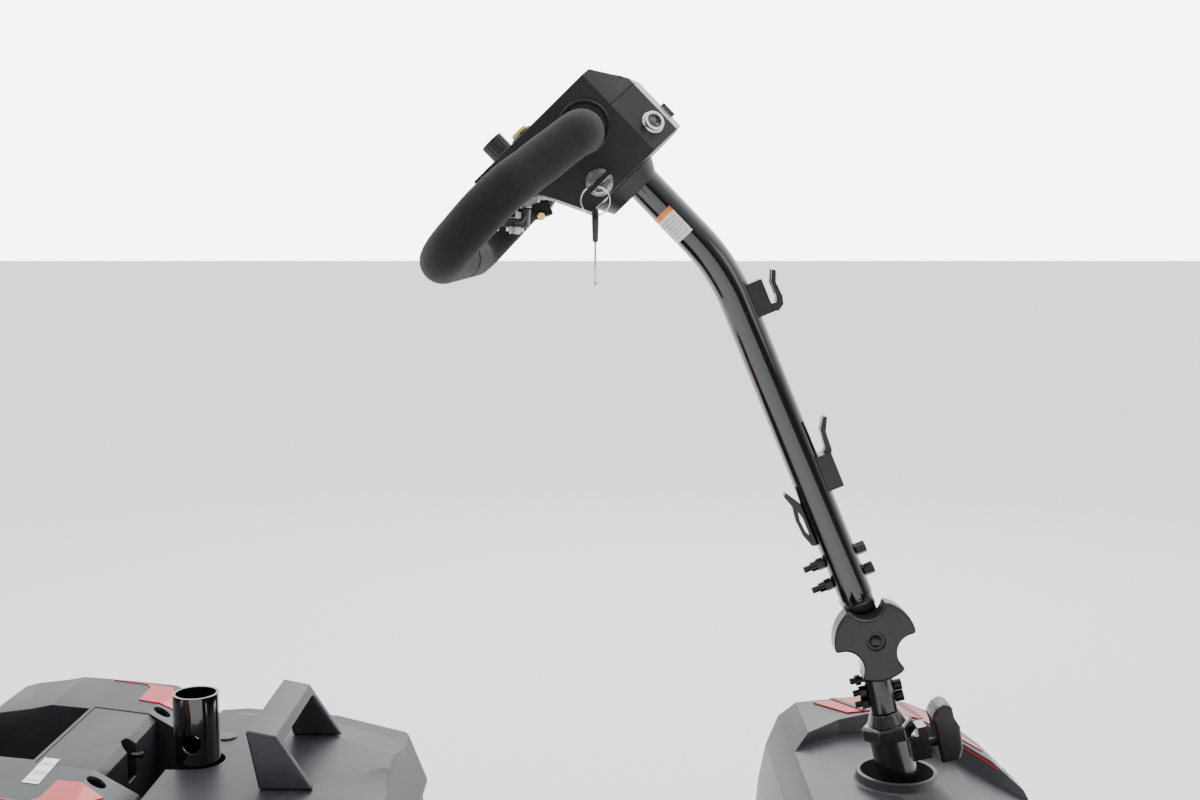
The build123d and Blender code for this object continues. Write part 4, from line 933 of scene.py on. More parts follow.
def lathe(profile: Sequence[tuple[float, float]], place: Matrix, steps: int = 48) -> bmesh.types.BMesh:
    """A closed turned shape.

    Args:
        profile: (radius, height) pairs, from the bottom up.
        place: Where its axis, Z, goes.
        steps: Faces round it.

    Returns:
        The shape, its ends closed.
    """
    made = bmesh.new()
    rings = []
    for radius, height in profile:
        ring = []
        for k in range(steps):
            a = 2 * math.pi * k / steps
            ring.append(made.verts.new(place @ Vector((radius * math.cos(a), radius * math.sin(a), height))))
        rings.append(ring)
    skin(made, rings)
    return made


def extruded(outline: Sequence[Vector], move: Point) -> bmesh.types.BMesh:
    """A flat outline drawn out along move into a solid."""
    made = bmesh.new()
    made.faces.new([made.verts.new(point) for point in outline])
    grown = bmesh.ops.extrude_face_region(made, geom=list(made.faces))
    moved = [item for item in grown["geom"] if isinstance(item, bmesh.types.BMVert)]
    bmesh.ops.translate(made, vec=move, verts=moved)
    bmesh.ops.recalc_face_normals(made, faces=made.faces)
    return made


def lofted(sections: Sequence[tuple[float, float, float]], place: Matrix, steps: int = 32) -> bmesh.types.BMesh:
    """A closed solid through rounded-rectangle sections.

    Args:
        sections: (height, half width, half depth) of each section, from the bottom up.
        place: Where its axis, Z, goes.
        steps: Corners round each section.

    Returns:
        The solid.
    """
    made = bmesh.new()
    rings = []
    for height, half_a, half_b in sections:
        ring = []
        for k in range(steps):
            a = 2 * math.pi * k / steps
            c, t = math.cos(a), math.sin(a)
            swell = (abs(c) ** 4 + abs(t) ** 4) ** -0.25
            ring.append(made.verts.new(place @ Vector((half_a * c * swell, half_b * t * swell, height))))
        rings.append(ring)
    skin(made, rings)
    return made


def draped(outline: Sequence[tuple[float, float]], profile: Sequence[tuple[float, float]], low: float,
           high: float) -> bmesh.types.BMesh:
    """A thin closed panel that lies over a profile.

    Args:
        outline: The panel's corners in plan.
        profile: (x, z) points of the surface that it lies on.
        low: How far its underside is above the surface.
        high: How far its top is above the surface.

    Returns:
        The panel.
    """
    made = bmesh.new()
    made.faces.new([made.verts.new((x, y, 0.0)) for x, y in outline])
    for x, _ in profile:
        whole = list(made.verts) + list(made.edges) + list(made.faces)
        bmesh.ops.bisect_plane(made, geom=whole, plane_co=(x, 0, 0), plane_no=(1, 0, 0), dist=1e-7)
    grown = bmesh.ops.extrude_face_region(made, geom=list(made.faces))
    lifted = {item for item in grown["geom"] if isinstance(item, bmesh.types.BMVert)}
    for vert in made.verts:
        vert.co.z = profile_height(profile, vert.co.x) + (high if vert in lifted else low)
    bmesh.ops.recalc_face_normals(made, faces=made.faces)
    return made


def tube_along(points: Sequence[Vector], radius: Callable[[float], float], steps: int = 28) -> bmesh.types.BMesh:
    """A round bar along a smooth run of points.

    Args:
        points: The centre line.
        radius: The radius at a share of the length, from 0 to 1.
        steps: Faces round the bar.

    Returns:
        The bar, with its ends closed.
    """
    made = bmesh.new()
    count = len(points)
    rings = []
    up = Vector((0.0, 1.0, 0.0))
    for i, point in enumerate(points):
        before = points[i - 1] if i else point
        after = points[i + 1] if i + 1 < count else point
        heading = (after - before).normalized()
        side = heading.cross(up)
        if side.length < 1e-6:
            side = heading.orthogonal()
        side.normalize()
        up = side.cross(heading).normalized()
        r = radius(i / max(1, count - 1))
        rings.append([made.verts.new(point + side * (r * math.cos(a)) + up * (r * math.sin(a)))
                      for a in (2 * math.pi * k / steps for k in range(steps))])
    skin(made, rings)
    bmesh.ops.recalc_face_normals(made, faces=made.faces)
    return made


def rounded_run(corners: Sequence[Vector], radii: Sequence[float], step: float = 0.004) -> list[Vector]:
    """Points along straight runs that are joined by tangent arcs.

    Args:
        corners: The run's corners, ends included.
        radii: The arc's radius at each inner corner.
        step: The distance between points, in metres.

    Returns:
        The points, evenly spaced.
    """
    rough = [corners[0]]
    for before, corner, after, radius in zip(corners, corners[1:], corners[2:], radii):
        a, b = (before - corner).normalized(), (after - corner).normalized()
        half = a.angle(b) / 2
        reach = radius / math.tan(half)
        centre = corner + (a + b).normalized() * (radius / math.sin(half))
        start, end = corner + a * reach - centre, corner + b * reach - centre
        turn = start.angle(end)
        count = max(4, int(turn * radius / 0.003))
        for k in range(count + 1):
            share = k / count
            blend = start * math.sin((1 - share) * turn) + end * math.sin(share * turn)
            rough.append(centre + blend / math.sin(turn))
    rough.append(corners[-1])
    return spaced(rough, step)


def spaced(rough: Sequence[Vector], step: float) -> list[Vector]:
    """The same line with its points at an even distance."""
    lengths = [0.0]
    for a, b in zip(rough, rough[1:]):
        lengths.append(lengths[-1] + (b - a).length)
    count = max(2, int(round(lengths[-1] / step)))
    points, i = [], 0
    for k in range(count + 1):
        target = lengths[-1] * k / count
        while i < len(rough) - 2 and lengths[i + 1] < target:
            i += 1
        span = lengths[i + 1] - lengths[i]
        share = 0.0 if span == 0 else (target - lengths[i]) / span
        points.append(rough[i].lerp(rough[i + 1], share))
    return points


def strip(points: Sequence[Vector], across: Vector, out: Vector, width: float,
          thick: float) -> bmesh.types.BMesh:
    """A thin closed strip that follows a line.

    Args:
        points: The line through its middle, on the surface.
        across: The direction of its width.
        out: The direction that it stands out of the surface.
        width: Its width.
        thick: How far it stands out.

    Returns:
        The strip.
    """
    made = bmesh.new()
    rings = []
    for point in points:
        half = across.normalized() * (width / 2)
        rise = out.normalized() * thick
        sink = -out.normalized() * 0.0004
        rings.append([made.verts.new(p) for p in (point - half + sink, point + half + sink,
                                                  point + half + rise, point - half + rise)])
    skin(made, rings)
    bmesh.ops.recalc_face_normals(made, faces=made.faces)
    return made


def profile_height(profile: Sequence[tuple[float, float]], x: float) -> float:
    """The height of a profile at x, by straight lines between its points."""
    for (x0, z0), (x1, z1) in zip(profile, profile[1:]):
        if min(x0, x1) <= x <= max(x0, x1):
            return z0 + (z1 - z0) * (x - x0) / (x1 - x0)
    return profile[-1][1]


# ------------------------------------------------------------------ sub-assemblies
@dataclass
class GripLoop:
    """The closed delta bar with its foam grips."""

    shop: Workshop
    foam_radius: float = 0.0184
    bar_u: float = -0.012
    rear_u: float = -0.166
    half_width: float = 0.189
    foam_start: float = 0.098

    def run(self, side: Side) -> list[Vector]:
        """The centre line of one half, from the head to the middle of the cross bar."""
        s = side.value
        corners = [HEAD.at(self.bar_u, -s * -0.04, 0.066), HEAD.at(self.bar_u, s * 0.126, 0.066),
                   HEAD.at(-0.096, s * self.half_width, 0.072), HEAD.at(self.rear_u, s * self.half_width, 0.068),
                   HEAD.at(self.rear_u, 0.0, 0.068)]
        return rounded_run(corners, (0.038, 0.060, 0.044))

    def thickness(self, share: float) -> float:
        """The foam's radius along it, drawn in at the cut ends and a little uneven."""
        ends = min(share, 1.0 - share) * 160.0
        crown = math.sqrt(max(0.0, 1.0 - (1.0 - min(1.0, ends)) ** 2))
        return (self.foam_radius - 0.0022) + 0.0022 * crown + 0.00012 * math.sin(share * 61.0)

    def build(self) -> None:
        """Build both grips as foam sleeves that meet in the middle."""
        for side in Side:
            line = self.run(side)
            sleeve = spaced(line[int(len(line) * self.foam_start):-1], 0.0016)
            mesh = tube_along(sleeve, self.thickness, 40)
            grip = self.shop.piece(f"grip_foam_{side.label}", mesh, "grip_foam", "tiller", "foam_black", 0.0, 60.0)
            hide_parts("foam_grips")
            root = line[int(len(line) * self.foam_start) - 3]
            heading = (line[12] - line[2]).normalized()
            lip = lathe([(0.0135, 0.0), (0.0195, 0.0006), (0.0202, 0.0022), (0.0195, 0.0038), (0.0135, 0.0044)],
                        facing(root, heading))
            self.shop.piece(f"grip_lip_{side.label}", lip, "black_satin", "tiller", "head_charcoal", 0.0004, 30.0)
        self.shop.dress("delta_bar", "tube_enamel")


@dataclass
class HandlebarHead:
    """The head pod: shells, dash, lamps, switch and trim."""

    shop: Workshop
    half_width: float = 0.075

    def build(self) -> None:
        """Build the shells, then what is set into them."""
        shop = self.shop
        shop.rounded("head_lower_shell", "head_charcoal", "head_charcoal", 0.0045, segments=4)
        shop.rounded("head_upper_shell", "head_charcoal", "head_charcoal", 0.0045, segments=4)
        shop.rounded("head_collar", "head_charcoal", "head_charcoal", 0.0016, 20.0)
        self._trim()
        self._dash()
        self._lamps()
        self._screws()
        for side in Side:
            rim = lathe([(0.0192, 0.0), (0.0224, 0.0), (0.0226, 0.0014), (0.0215, 0.0026), (0.0198, 0.0026),
                         (0.0192, 0.0014), (0.0192, 0.0)],
                        facing(HEAD.at(-0.0065, side.value * (self.half_width - 0.0006), 0.0700),
                               Vector((0, side.value, 0))), 56)
            shop.piece(f"bar_socket_rim_{side.label}", rim, "black_satin", "tiller", "head_charcoal", 0.0)

    def _trim(self) -> None:
        """The short red lines down the front slope of the pod."""
        for side in Side:
            y = side.value * (self.half_width - 0.0175)
            points = [HEAD.at(0.03126 + 0.01525 * k / 12, y, 0.09922 - 0.02107 * k / 12) for k in range(13)]
            out = HEAD.at(0.81, 0, 0.585) - HEAD.at(0, 0, 0)
            mesh = strip(points, Vector((0, 1, 0)), out, 0.0024, 0.0008)
            self.shop.piece(f"head_red_line_{side.label}", mesh, "pearl_red", "tiller", "red_gloss", 0.0002)

    def _dash(self) -> None:
        """The gauge, the buttons and the speed dial."""
        shop = self.shop
        middle = HEAD.at(-0.010, 0.0, 0.1035)
        shop.dress("dash_panel", "gauge_window", GaugeFace(tuple(middle)))
        shop.dress("horn_button", "yellow_plastic")
        shop.dress("light_button", "pearl_red")
        shop.rounded("speed_dial", "black_satin", "black_plastic", 0.0005, 25.0, 2)
        pointer = box((0.0075, 0.0012, 0.0006), HEAD.matrix() @ Matrix.Translation((-0.0675, 0.0, 0.1236)))
        shop.piece("dial_pointer", pointer, "label_white", "dial", "black_plastic", 0.0002)
        ring = HEAD.matrix() @ Matrix.Translation((-0.072, 0.0, 0.1022))
        plate = lathe([(0.0125, -0.0004), (0.0185, -0.0004), (0.0188, 0.0002), (0.0185, 0.0006), (0.0125, 0.0006)],
                      ring)
        shop.piece("dial_scale", plate, "dark_inlay", "tiller", "black_plastic")
        ticks = RingRepeater("dial_ticks_tree", 20, 0.0158, (0.0030, 0.0005, 0.0004), (0.0, 0.0, 0.0),
                             Axis.VERTICAL)
        marks = shop.repeated("dial_ticks", ticks, "label_white", "tiller", "black_plastic")
        marks.data.transform(HEAD.matrix() @ Matrix.Translation((-0.072, 0.0, 0.1029)))

    def _lamps(self) -> None:
        """The lamps' bright bezels, and clear lenses over them."""
        shop = self.shop
        shop.dress("headlamps", "chrome")
        for side in Side:
            s = side.value
            normal = (HEAD.at(20, s * 28, 0) - HEAD.at(0, 0, 0)).normalized()
            centre = HEAD.at(0.0365, s * 0.06464, 0.032)
            dish = lathe([(0.0001, 0.0015), (0.0062, 0.0015), (0.0064, 0.0024), (0.0045, 0.0036), (0.0001, 0.0042)],
                         facing(centre, normal), 32)
            shop.piece(f"lamp_lens_{side.label}", dish, "lens", "tiller", "chrome", 0.0, 50.0)

    def _screws(self) -> None:
        """Screws along the seam of the pod's underside."""
        down = tuple(HEAD.at(0, 0, -1) - HEAD.at(0, 0, 0))
        rows = PointRepeater("head_screws_tree", tuple(HEAD.at(-0.036, -0.055, 0.0138)),
                             tuple(HEAD.at(-0.036, 0.055, 0.0138)), 2, 0.0034, 0.0012, down)
        self.shop.repeated("head_screws", rows, "zinc", "tiller", "zinc")


@dataclass
class ThrottleGear:
    """The throttle lever under the dash, with its return linkage and stops."""

    shop: Workshop
    y: float = -0.0262

    def build(self) -> None:
        """Dress the CAD lever and build the small linkage beside its pivot."""
        shop = self.shop
        shop.rounded("throttle_lever", "black_satin", "black_plastic", 0.0012, 20.0)
        shop.dress("throttle_pivot", "zinc")
        y = self.y
        body = box((0.016, 0.010, 0.014), Matrix.Translation((0.0440, y, 0.7840)) @ Matrix.Rotation(-0.35, 4, "Y"))
        shop.piece("throttle_sender", body, "black_satin", "tiller", "black_plastic", 0.0014)
        roller = lathe([(0.0016, -0.006), (0.0056, -0.006), (0.0062, -0.0052), (0.0062, 0.0052), (0.0056, 0.006),
                        (0.0016, 0.006)], facing(Vector((0.0230, y, 0.7785)), Vector((0, 1, 0))), 32)
        shop.piece("throttle_roller", roller, "black_coarse", "throttle", "black_plastic", 0.0, 40.0)
        pin = lathe([(0.0014, -0.0085), (0.0022, -0.0085), (0.0022, 0.0085), (0.0014, 0.0085)],
                    facing(Vector((0.0230, y, 0.7785)), Vector((0, 1, 0))), 24)
        shop.piece("throttle_roller_pin", pin, "chrome", "throttle", "zinc", 0.0003)
        arc = rounded_run([Vector((0.0035, y - 0.004, 0.7660)), Vector((0.0120, y - 0.004, 0.7905)),
                           Vector((0.0300, y - 0.004, 0.7990)), Vector((0.0370, y - 0.004, 0.7985))],
                          (0.012, 0.016), 0.0015)
        lever = tube_along(arc, lambda share: 0.0019, 16)
        shop.piece("throttle_link", lever, "chrome", "throttle", "zinc", 0.0, 50.0)
        screw = lathe([(0.0012, -0.006), (0.0024, -0.006), (0.0024, 0.0), (0.0040, 0.0), (0.0042, 0.0006),
                       (0.0042, 0.0034), (0.0036, 0.004), (0.0012, 0.004)],
                      facing(Vector((0.0425, y - 0.0065, 0.7790)), Vector((0.3, -1, -0.2))), 6)
        shop.piece("throttle_adjuster", screw, "brass", "tiller", "zinc", 0.0003)
        plate = box((0.017, 0.012, 0.0018), Matrix.Translation((0.0560, y, 0.7925)) @ Matrix.Rotation(-1.0, 4, "Y"))
        shop.piece("throttle_bracket", plate, "chrome", "tiller", "zinc", 0.0004)


@dataclass
class KeySet:
    """The ignition switch, its key and the spare on the split ring."""

    shop: Workshop
    ring_radius: float = 0.0122
    blade_half: float = 0.0009
    wire_radius: float = 0.0006
    bow_sections: tuple = ((0.0405, 0.0006, 0.0030), (0.0408, 0.0019, 0.0042), (0.0420, 0.0024, 0.0052),
                           (0.0500, 0.0027, 0.0078), (0.0580, 0.0030, 0.0094), (0.0640, 0.0031, 0.0094),
                           (0.0672, 0.0027, 0.0080), (0.0686, 0.0016, 0.0056), (0.0688, 0.0005, 0.0030))

    def build(self) -> None:
        """Dress the switch and its key, and build the ring and the spare."""
        self.shop.dress("key_switch", "chrome")
        self.shop.rounded("ignition_key", "black_satin", "black_plastic", 0.0014, 25.0)
        low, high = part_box("key_ring")
        middle = Vector(((low.x + high.x) / 2, (low.y + high.y) / 2, high.z - self.ring_radius - 0.0008))
        ring = self.shop.piece("split_ring", self._ring(middle), "chrome", "ring", "zinc", 0.0, 60.0)
        bow = lofted(self.bow_sections, Matrix.Translation((middle.x, middle.y, low.z)))
        self.shop.piece("spare_key_bow", bow, "black_satin", "ring", "black_plastic", 0.0, 50.0)
        blade = self._blade(Vector((middle.x, middle.y, low.z)))
        self.shop.piece("spare_key_blade", blade, "chrome", "ring", "zinc", 0.00015, 30.0)
        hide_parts("key_ring")

    def _ring(self, middle: Vector) -> bmesh.types.BMesh:
        """Two turns of spring wire side by side."""
        line = []
        for k in range(97):
            a = 4 * math.pi * k / 96
            line.append(middle + Vector((self.ring_radius * math.sin(a), (k / 96 - 0.5) * 0.0018,
                                         self.ring_radius * math.cos(a))))
        return tube_along(line, lambda share: self.wire_radius, 12)

    def _blade(self, foot: Vector) -> bmesh.types.BMesh:
        """The spare key's thin blade, with cuts down one edge."""
        outline = [(-0.0030, 0.043), (-0.0030, 0.0085), (0.0, 0.0048), (0.0018, 0.0065)]
        for k in range(6):
            outline += [(0.0030, 0.0095 + 0.0045 * k), (0.0016 + 0.0004 * (k % 3), 0.0117 + 0.0045 * k)]
        outline += [(0.0030, 0.0370), (0.0030, 0.043)]
        half = self.blade_half
        return extruded([foot + Vector((-half, y, z)) for y, z in outline], (2 * half, 0.0, 0.0))


@dataclass
class TillerColumn:
    """The tiller tube with its label, hooks, fork and bolts."""

    shop: Workshop
    tube_radius: float = 0.0159
    label_height: float = 0.030
    label_top: float = -0.029
    label_start: float = -182.0
    label_turn: float = 100.0
    label_gap: float = 0.00018

    def build(self) -> None:
        """Dress the CAD pieces and add the label."""
        shop = self.shop
        shop.dress("tiller_tube", "tube_enamel")
        shop.rounded("tiller_fork", "frame_enamel", "frame_black", 0.0012, 20.0)
        shop.dress("tiller_bolts", "black_oxide")
        shop.rounded("basket_hooks", "black_satin", "black_plastic", 0.0012, 20.0)
        shop.rounded("bag_hook", "black_satin", "black_plastic", 0.0010, 20.0)
        self._label()

    def _label(self) -> None:
        """A film label wrapped round the right of the tube."""
        made = bmesh.new()
        flat = made.loops.layers.uv.new("UVMap")
        top, foot, rows, columns = self.label_top, self.label_top - self.label_height, 14, 26
        grid = []
        for i in range(rows + 1):
            w = foot + (top - foot) * i / rows
            line = []
            for k in range(columns + 1):
                a = math.radians(self.label_start + self.label_turn * k / columns)
                r = self.tube_radius + self.label_gap
                line.append(made.verts.new(HEAD.at(r * math.cos(a), r * math.sin(a), w)))
            grid.append(line)
        for i in range(rows):
            for k in range(columns):
                face = made.faces.new((grid[i][k], grid[i][k + 1], grid[i + 1][k + 1], grid[i + 1][k]))
                places = ((k, i), (k + 1, i), (k + 1, i + 1), (k, i + 1))
                for loop, (a, b) in zip(face.loops, places):
                    loop[flat].uv = (a / columns, b / rows)
        self.shop.piece("tube_label", made, "label_film", "tiller", "shroud_grey", 0.0, 60.0)


@dataclass
class SteeringColumn:
    """The clamp knob, pivot base, headset and lock of the column."""

    shop: Workshop
    knob_face_y: float = -0.0452
    lock_w: float = -0.120
    grip_half: float = 0.0145
    grip_outline: tuple = ((0.0406, -0.137), (0.0412, -0.100), (0.0395, -0.0955), (0.041, -0.0905), (0.046, -0.0845),
                           (0.054, -0.0817), (0.0605, -0.086), (0.0605, -0.097), (0.064, -0.106), (0.063, -0.127),
                           (0.058, -0.137))

    def build(self) -> None:
        """Round the castings and knob, and add the lock and the knob's cross-head screw."""
        shop = self.shop
        shop.rounded("clamp_knob", "black_satin", "black_plastic", 0.0018, 25.0, 4)
        shop.dress("pivot_bolt", "zinc")
        shop.rounded("pivot_base", "frame_enamel", "frame_black", 0.0012, 20.0)
        shop.dress("stem_bolts", "black_oxide")
        shop.dress("steering_stem", "frame_enamel")
        shop.rounded("headset_nut", "frame_enamel", "chrome", 0.0008, 20.0)
        self._lock()
        centre = Vector((STEER.x, self.knob_face_y + 0.0030, STEER.z))
        place = facing(centre, Vector((0, -1, 0)))
        head = lathe([(0.0030, -0.002), (0.0052, -0.002), (0.0056, 0.0), (0.0050, 0.0012), (0.0030, 0.0020)],
                     place, 36)
        shop.piece("knob_screw", head, "black_oxide", "knob", "zinc", 0.0003)
        for name, turn in (("a", 0.6), ("b", 0.6 + math.pi / 2)):
            slot_bar = box((0.0062, 0.0013, 0.0008), place @ Matrix.Translation((0, 0, 0.0018)) @
                           Matrix.Rotation(turn, 4, "Z"))
            shop.piece(f"knob_screw_slot_{name}", slot_bar, "dark_inlay", "knob", "zinc", 0.0001)

    def _lock(self) -> None:
        """The lock's pin, its moulded grip and the ribs under the fingers."""
        made = extruded([STEER.at(u, -self.grip_half, w) for u, w in self.grip_outline],
                        (0.0, 2 * self.grip_half, 0.0))
        grip = self.shop.piece("lock_grip", made, "black_satin", "plunger", "black_plastic", 0.0042, 20.0)
        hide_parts("lock_plunger")
        along = (STEER.at(1, 0, 0) - STEER.at(0, 0, 0)).normalized()
        pin = lathe([(0.0015, 0.0), (0.0025, 0.0012), (0.0025, 0.0154), (0.0040, 0.0155), (0.0040, 0.0345)],
                    facing(STEER.at(0.0101, 0.0, self.lock_w), along), 28)
        self.shop.piece("lock_pin", pin, "black_oxide", "plunger", "black_plastic", 0.0002)
        ribs = RodRepeater("lock_ribs_tree", tuple(STEER.at(0.0632, 0.0, -0.1075)),
                           tuple(STEER.at(0.0610, 0.0, -0.1310)), 7, 0.0015, 0.022)
        self.shop.repeated("lock_ribs", ribs, "black_satin", "plunger", "black_plastic")


@dataclass
class FrontHood:
    """The hood over the front axle with its inserts and inlays."""

    shop: Workshop
    profile: tuple = ((0.287, 0.247), (0.305, 0.265), (0.373, 0.273), (0.422, 0.265), (0.455, 0.250),
                      (0.500, 0.222), (0.535, 0.190))
    wall_y: float = 0.1318

    def build(self) -> None:
        """Round the hood and lay its inserts, bars and red line."""
        shop = self.shop
        shop.rounded("front_hood", "cover_grey", "shroud_grey", 0.0034, 10.0, 4)
        shop.rounded("hood_inserts", "pearl_red", "red_gloss", 0.0005, 20.0, 2)
        shop.rounded("front_bumper", "black_coarse", "black_plastic", 0.0025, 20.0)
        for side in Side:
            self._bar(side, "rear", (0.343, 0.187), (0.369, 0.139))
            self._bar(side, "front", (0.413, 0.180), (0.427, 0.139))
            self._line(side)

    def _bar(self, side: Side, name: str, start: tuple[float, float], end: tuple[float, float]) -> None:
        """One dark bar inlaid across the shoulder's insert."""
        points = []
        for k in range(13):
            x = start[0] + (end[0] - start[0]) * k / 12
            y = start[1] + (end[1] - start[1]) * k / 12
            points.append(Vector((x, side.value * y, profile_height(self.profile, x) + 0.0015)))
        run = (points[-1] - points[0]).normalized()
        mesh = strip(points, run.cross(Vector((0, 0, 1))), Vector((0, 0, 1)), 0.0062, 0.0008)
        self.shop.piece(f"hood_bar_{name}_{side.label}", mesh, "dark_inlay", "chassis", "shroud_grey", 0.0004)

    def _line(self, side: Side) -> None:
        """The thin red line along the top of the shoulder's inner wall."""
        points = []
        for k in range(17):
            x = 0.452 + 0.054 * k / 16
            points.append(Vector((x, side.value * self.wall_y, profile_height(self.profile, x) - 0.0042)))
        mesh = strip(points, Vector((0.4, 0, 1)), Vector((0, -side.value, 0)), 0.0016, 0.0007)
        self.shop.piece(f"hood_red_line_{side.label}", mesh, "pearl_red", "chassis", "red_gloss", 0.0002)


@dataclass
class RearCover:
    """The rear shroud, its bridge, inserts, label and latch pin."""

    shop: Workshop
    profile: tuple = ((-0.3095, 0.262), (-0.314, 0.268), (-0.352, 0.291), (-0.405, 0.298), (-0.446, 0.302))
    insert: tuple = ((-0.373, 0.1105), (-0.355, 0.108), (-0.332, 0.1135), (-0.342, 0.140), (-0.352, 0.1575),
                     (-0.380, 0.1605), (-0.3735, 0.150))

    def build(self) -> None:
        """Round the cover and add its trim."""
        shop = self.shop
        shop.rounded("rear_shroud", "rear_grey", "shroud_grey", 0.0034, 10.0, 4)
        shop.rounded("shroud_bridge", "rear_grey", "shroud_grey", 0.0022, 12.0)
        for side in Side:
            outline = [(x, side.value * y) for x, y in self.insert]
            panel = shop.piece(f"lobe_insert_{side.label}", draped(outline, self.profile, -0.0004, 0.0011),
                               "pearl_red", "chassis", "red_gloss", 0.0004)
            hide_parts("rear_inserts")
            line = [Vector((-0.380 - 0.034 * k / 10, side.value * 0.1608,
                            profile_height(self.profile, -0.380 - 0.034 * k / 10))) for k in range(11)]
            edge = strip(line, Vector((0, 1, 0)), Vector((0, 0, 1)), 0.0022, 0.0008)
            shop.piece(f"lobe_line_{side.label}", edge, "pearl_red", "chassis", "red_gloss", 0.0002)
        shop.dress("rear_reflectors", "pearl_red")
        pin = lathe([(0.0012, 0.0), (0.0024, 0.0), (0.0024, 0.008), (0.0032, 0.0084), (0.0033, 0.0100),
                     (0.0028, 0.0112), (0.0012, 0.0116)],
                    facing(Vector((-0.3453, 0.0, 0.2765)), Vector((1, 0, 0))), 28)
        shop.piece("latch_pin", pin, "black_oxide", "chassis", "zinc", 0.0003)
        self._label()

    def _label(self) -> None:
        """A plain film label on the right lobe."""
        made = bmesh.new()
        flat = made.loops.layers.uv.new("UVMap")
        corners = ((-0.3990, -0.1225), (-0.3846, -0.1225), (-0.3877, -0.0643), (-0.4011, -0.0643))
        top = [made.verts.new((x, y, profile_height(self.profile, x) + 0.0004)) for x, y in corners]
        face = made.faces.new(top)
        for loop, place in zip(face.loops, ((0, 0), (1, 0), (1, 1), (0, 1))):
            loop[flat].uv = place
        self.shop.piece("lobe_label", made, "plain_label", "chassis", "shroud_grey")


@dataclass
class BatteryPack:
    """The lift-out battery pack with its lid, handle and charging socket."""

    shop: Workshop

    def build(self) -> None:
        """Round the case, lid and handle, and add the socket cover."""
        shop = self.shop
        shop.rounded("battery_case", "black_coarse", "black_plastic", 0.0028, 12.0)
        shop.rounded("battery_lid", "pack_grey", "battery_grey", 0.0026, 8.0)
        shop.rounded("battery_handle", "pack_grey", "battery_grey", 0.0028, 15.0, 4)
        shop.dress("battery_cells", "black_coarse")
        cover = lathe([(0.0008, 0.0), (0.0100, 0.0), (0.0104, 0.0008), (0.0096, 0.0020), (0.0008, 0.0024)],
                      Matrix.Translation((-0.2720, 0.0620, 0.2718)), 40)
        shop.piece("charge_socket_cover", cover, "black_satin", "battery", "black_plastic", 0.0003)


@dataclass
class RunningGear:
    """The wheels, axles, steering linkage and drive under the covers."""

    shop: Workshop
    tread_step: float = 0.0115
    wheel_sizes: dict = field(default_factory=lambda: {"front": (0.089, 0.048), "rear": (0.102, 0.058)})
    middle_y: dict = field(default_factory=lambda: {"front": 0.216, "rear": 0.219})

    def build(self) -> None:
        """Dress every wheel and add its tread lugs and hub cap."""
        for side in Side:
            for end, (radius, width) in self.wheel_sizes.items():
                self._wheel(end, side, radius, width)
            self.shop.dress(f"knuckle_{side.label}", "frame_enamel")
            self.shop.dress(f"tie_rod_{side.label}", "zinc")
            self.shop.rounded(f"anti_tip_roller_{side.label}", "black_coarse", "black_plastic", 0.0016, 25.0)
        self.shop.dress("transaxle_housing", "cast_alloy")
        for node in ("drive_motor", "parking_brake", "front_frame", "rear_frame"):
            self.shop.dress(node, "frame_enamel")
        self.shop.dress("freewheel_lever", "yellow_plastic")
        self.shop.dress("controller_box", "cast_alloy")
        self.shop.dress("headset_bearings", "zinc")
        self.shop.dress("seat_post_tube", "tube_enamel")

    def _wheel(self, end: str, side: Side, radius: float, width: float) -> None:
        """Dress one wheel and put its lugs and cap on."""
        node = f"{end}_wheel_{side.label}"
        low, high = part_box(node)
        middle_y = self.middle_y[end] * side.value
        centre = ((low.x + high.x) / 2, middle_y, (low.z + high.z) / 2)
        self.shop.dress(node, f"{node}_finish", WheelFinish(centre, radius))
        count = int(2 * math.pi * radius / self.tread_step)
        for row, place in (("outer", 0.30), ("inner", -0.30)):
            y = centre[1] + side.value * place * width
            lugs = RingRepeater(f"{node}_{row}_tree", count, radius - 0.0012, (0.0020, 0.0060, 0.0085),
                                (centre[0], y, centre[2]), Axis.LATERAL, 18.0)
            self.shop.repeated(f"{node}_lugs_{row}", lugs, "tread_rubber", node, "tyre")
        face = centre[1] + side.value * (width / 2 + 0.0004)
        cap = lathe([(0.0075, 0.0), (0.0165, 0.0), (0.0160, 0.0016), (0.0135, 0.0030), (0.0075, 0.0034)],
                    facing(Vector((centre[0], face, centre[2])), Vector((0, side.value, 0))), 40)
        self.shop.piece(f"{node}_hub_cap", cap, "chrome", node, "zinc", 0.0004)


@dataclass
class Deck:
    """The floor pan with its ribbed mat, studs and screws."""

    shop: Workshop
    mat_top: float = 0.1220

    def build(self) -> None:
        """Dress the pan and the mat and set the grip studs."""
        shop = self.shop
        shop.dress("floor_pan", "black_coarse")
        shop.dress("floor_mat", "deck_rubber", DeckRubber(top=0.118))
        shop.dress("floor_screws", "zinc")
        studs = GridRepeater("deck_studs_tree", 15, 25, (0.238, 0.336), 0.0024, 0.0016,
                             (0.0845, 0.0, self.mat_top + 0.0004))
        shop.repeated("deck_studs", studs, "deck_rubber", "chassis", "mat_rubber")


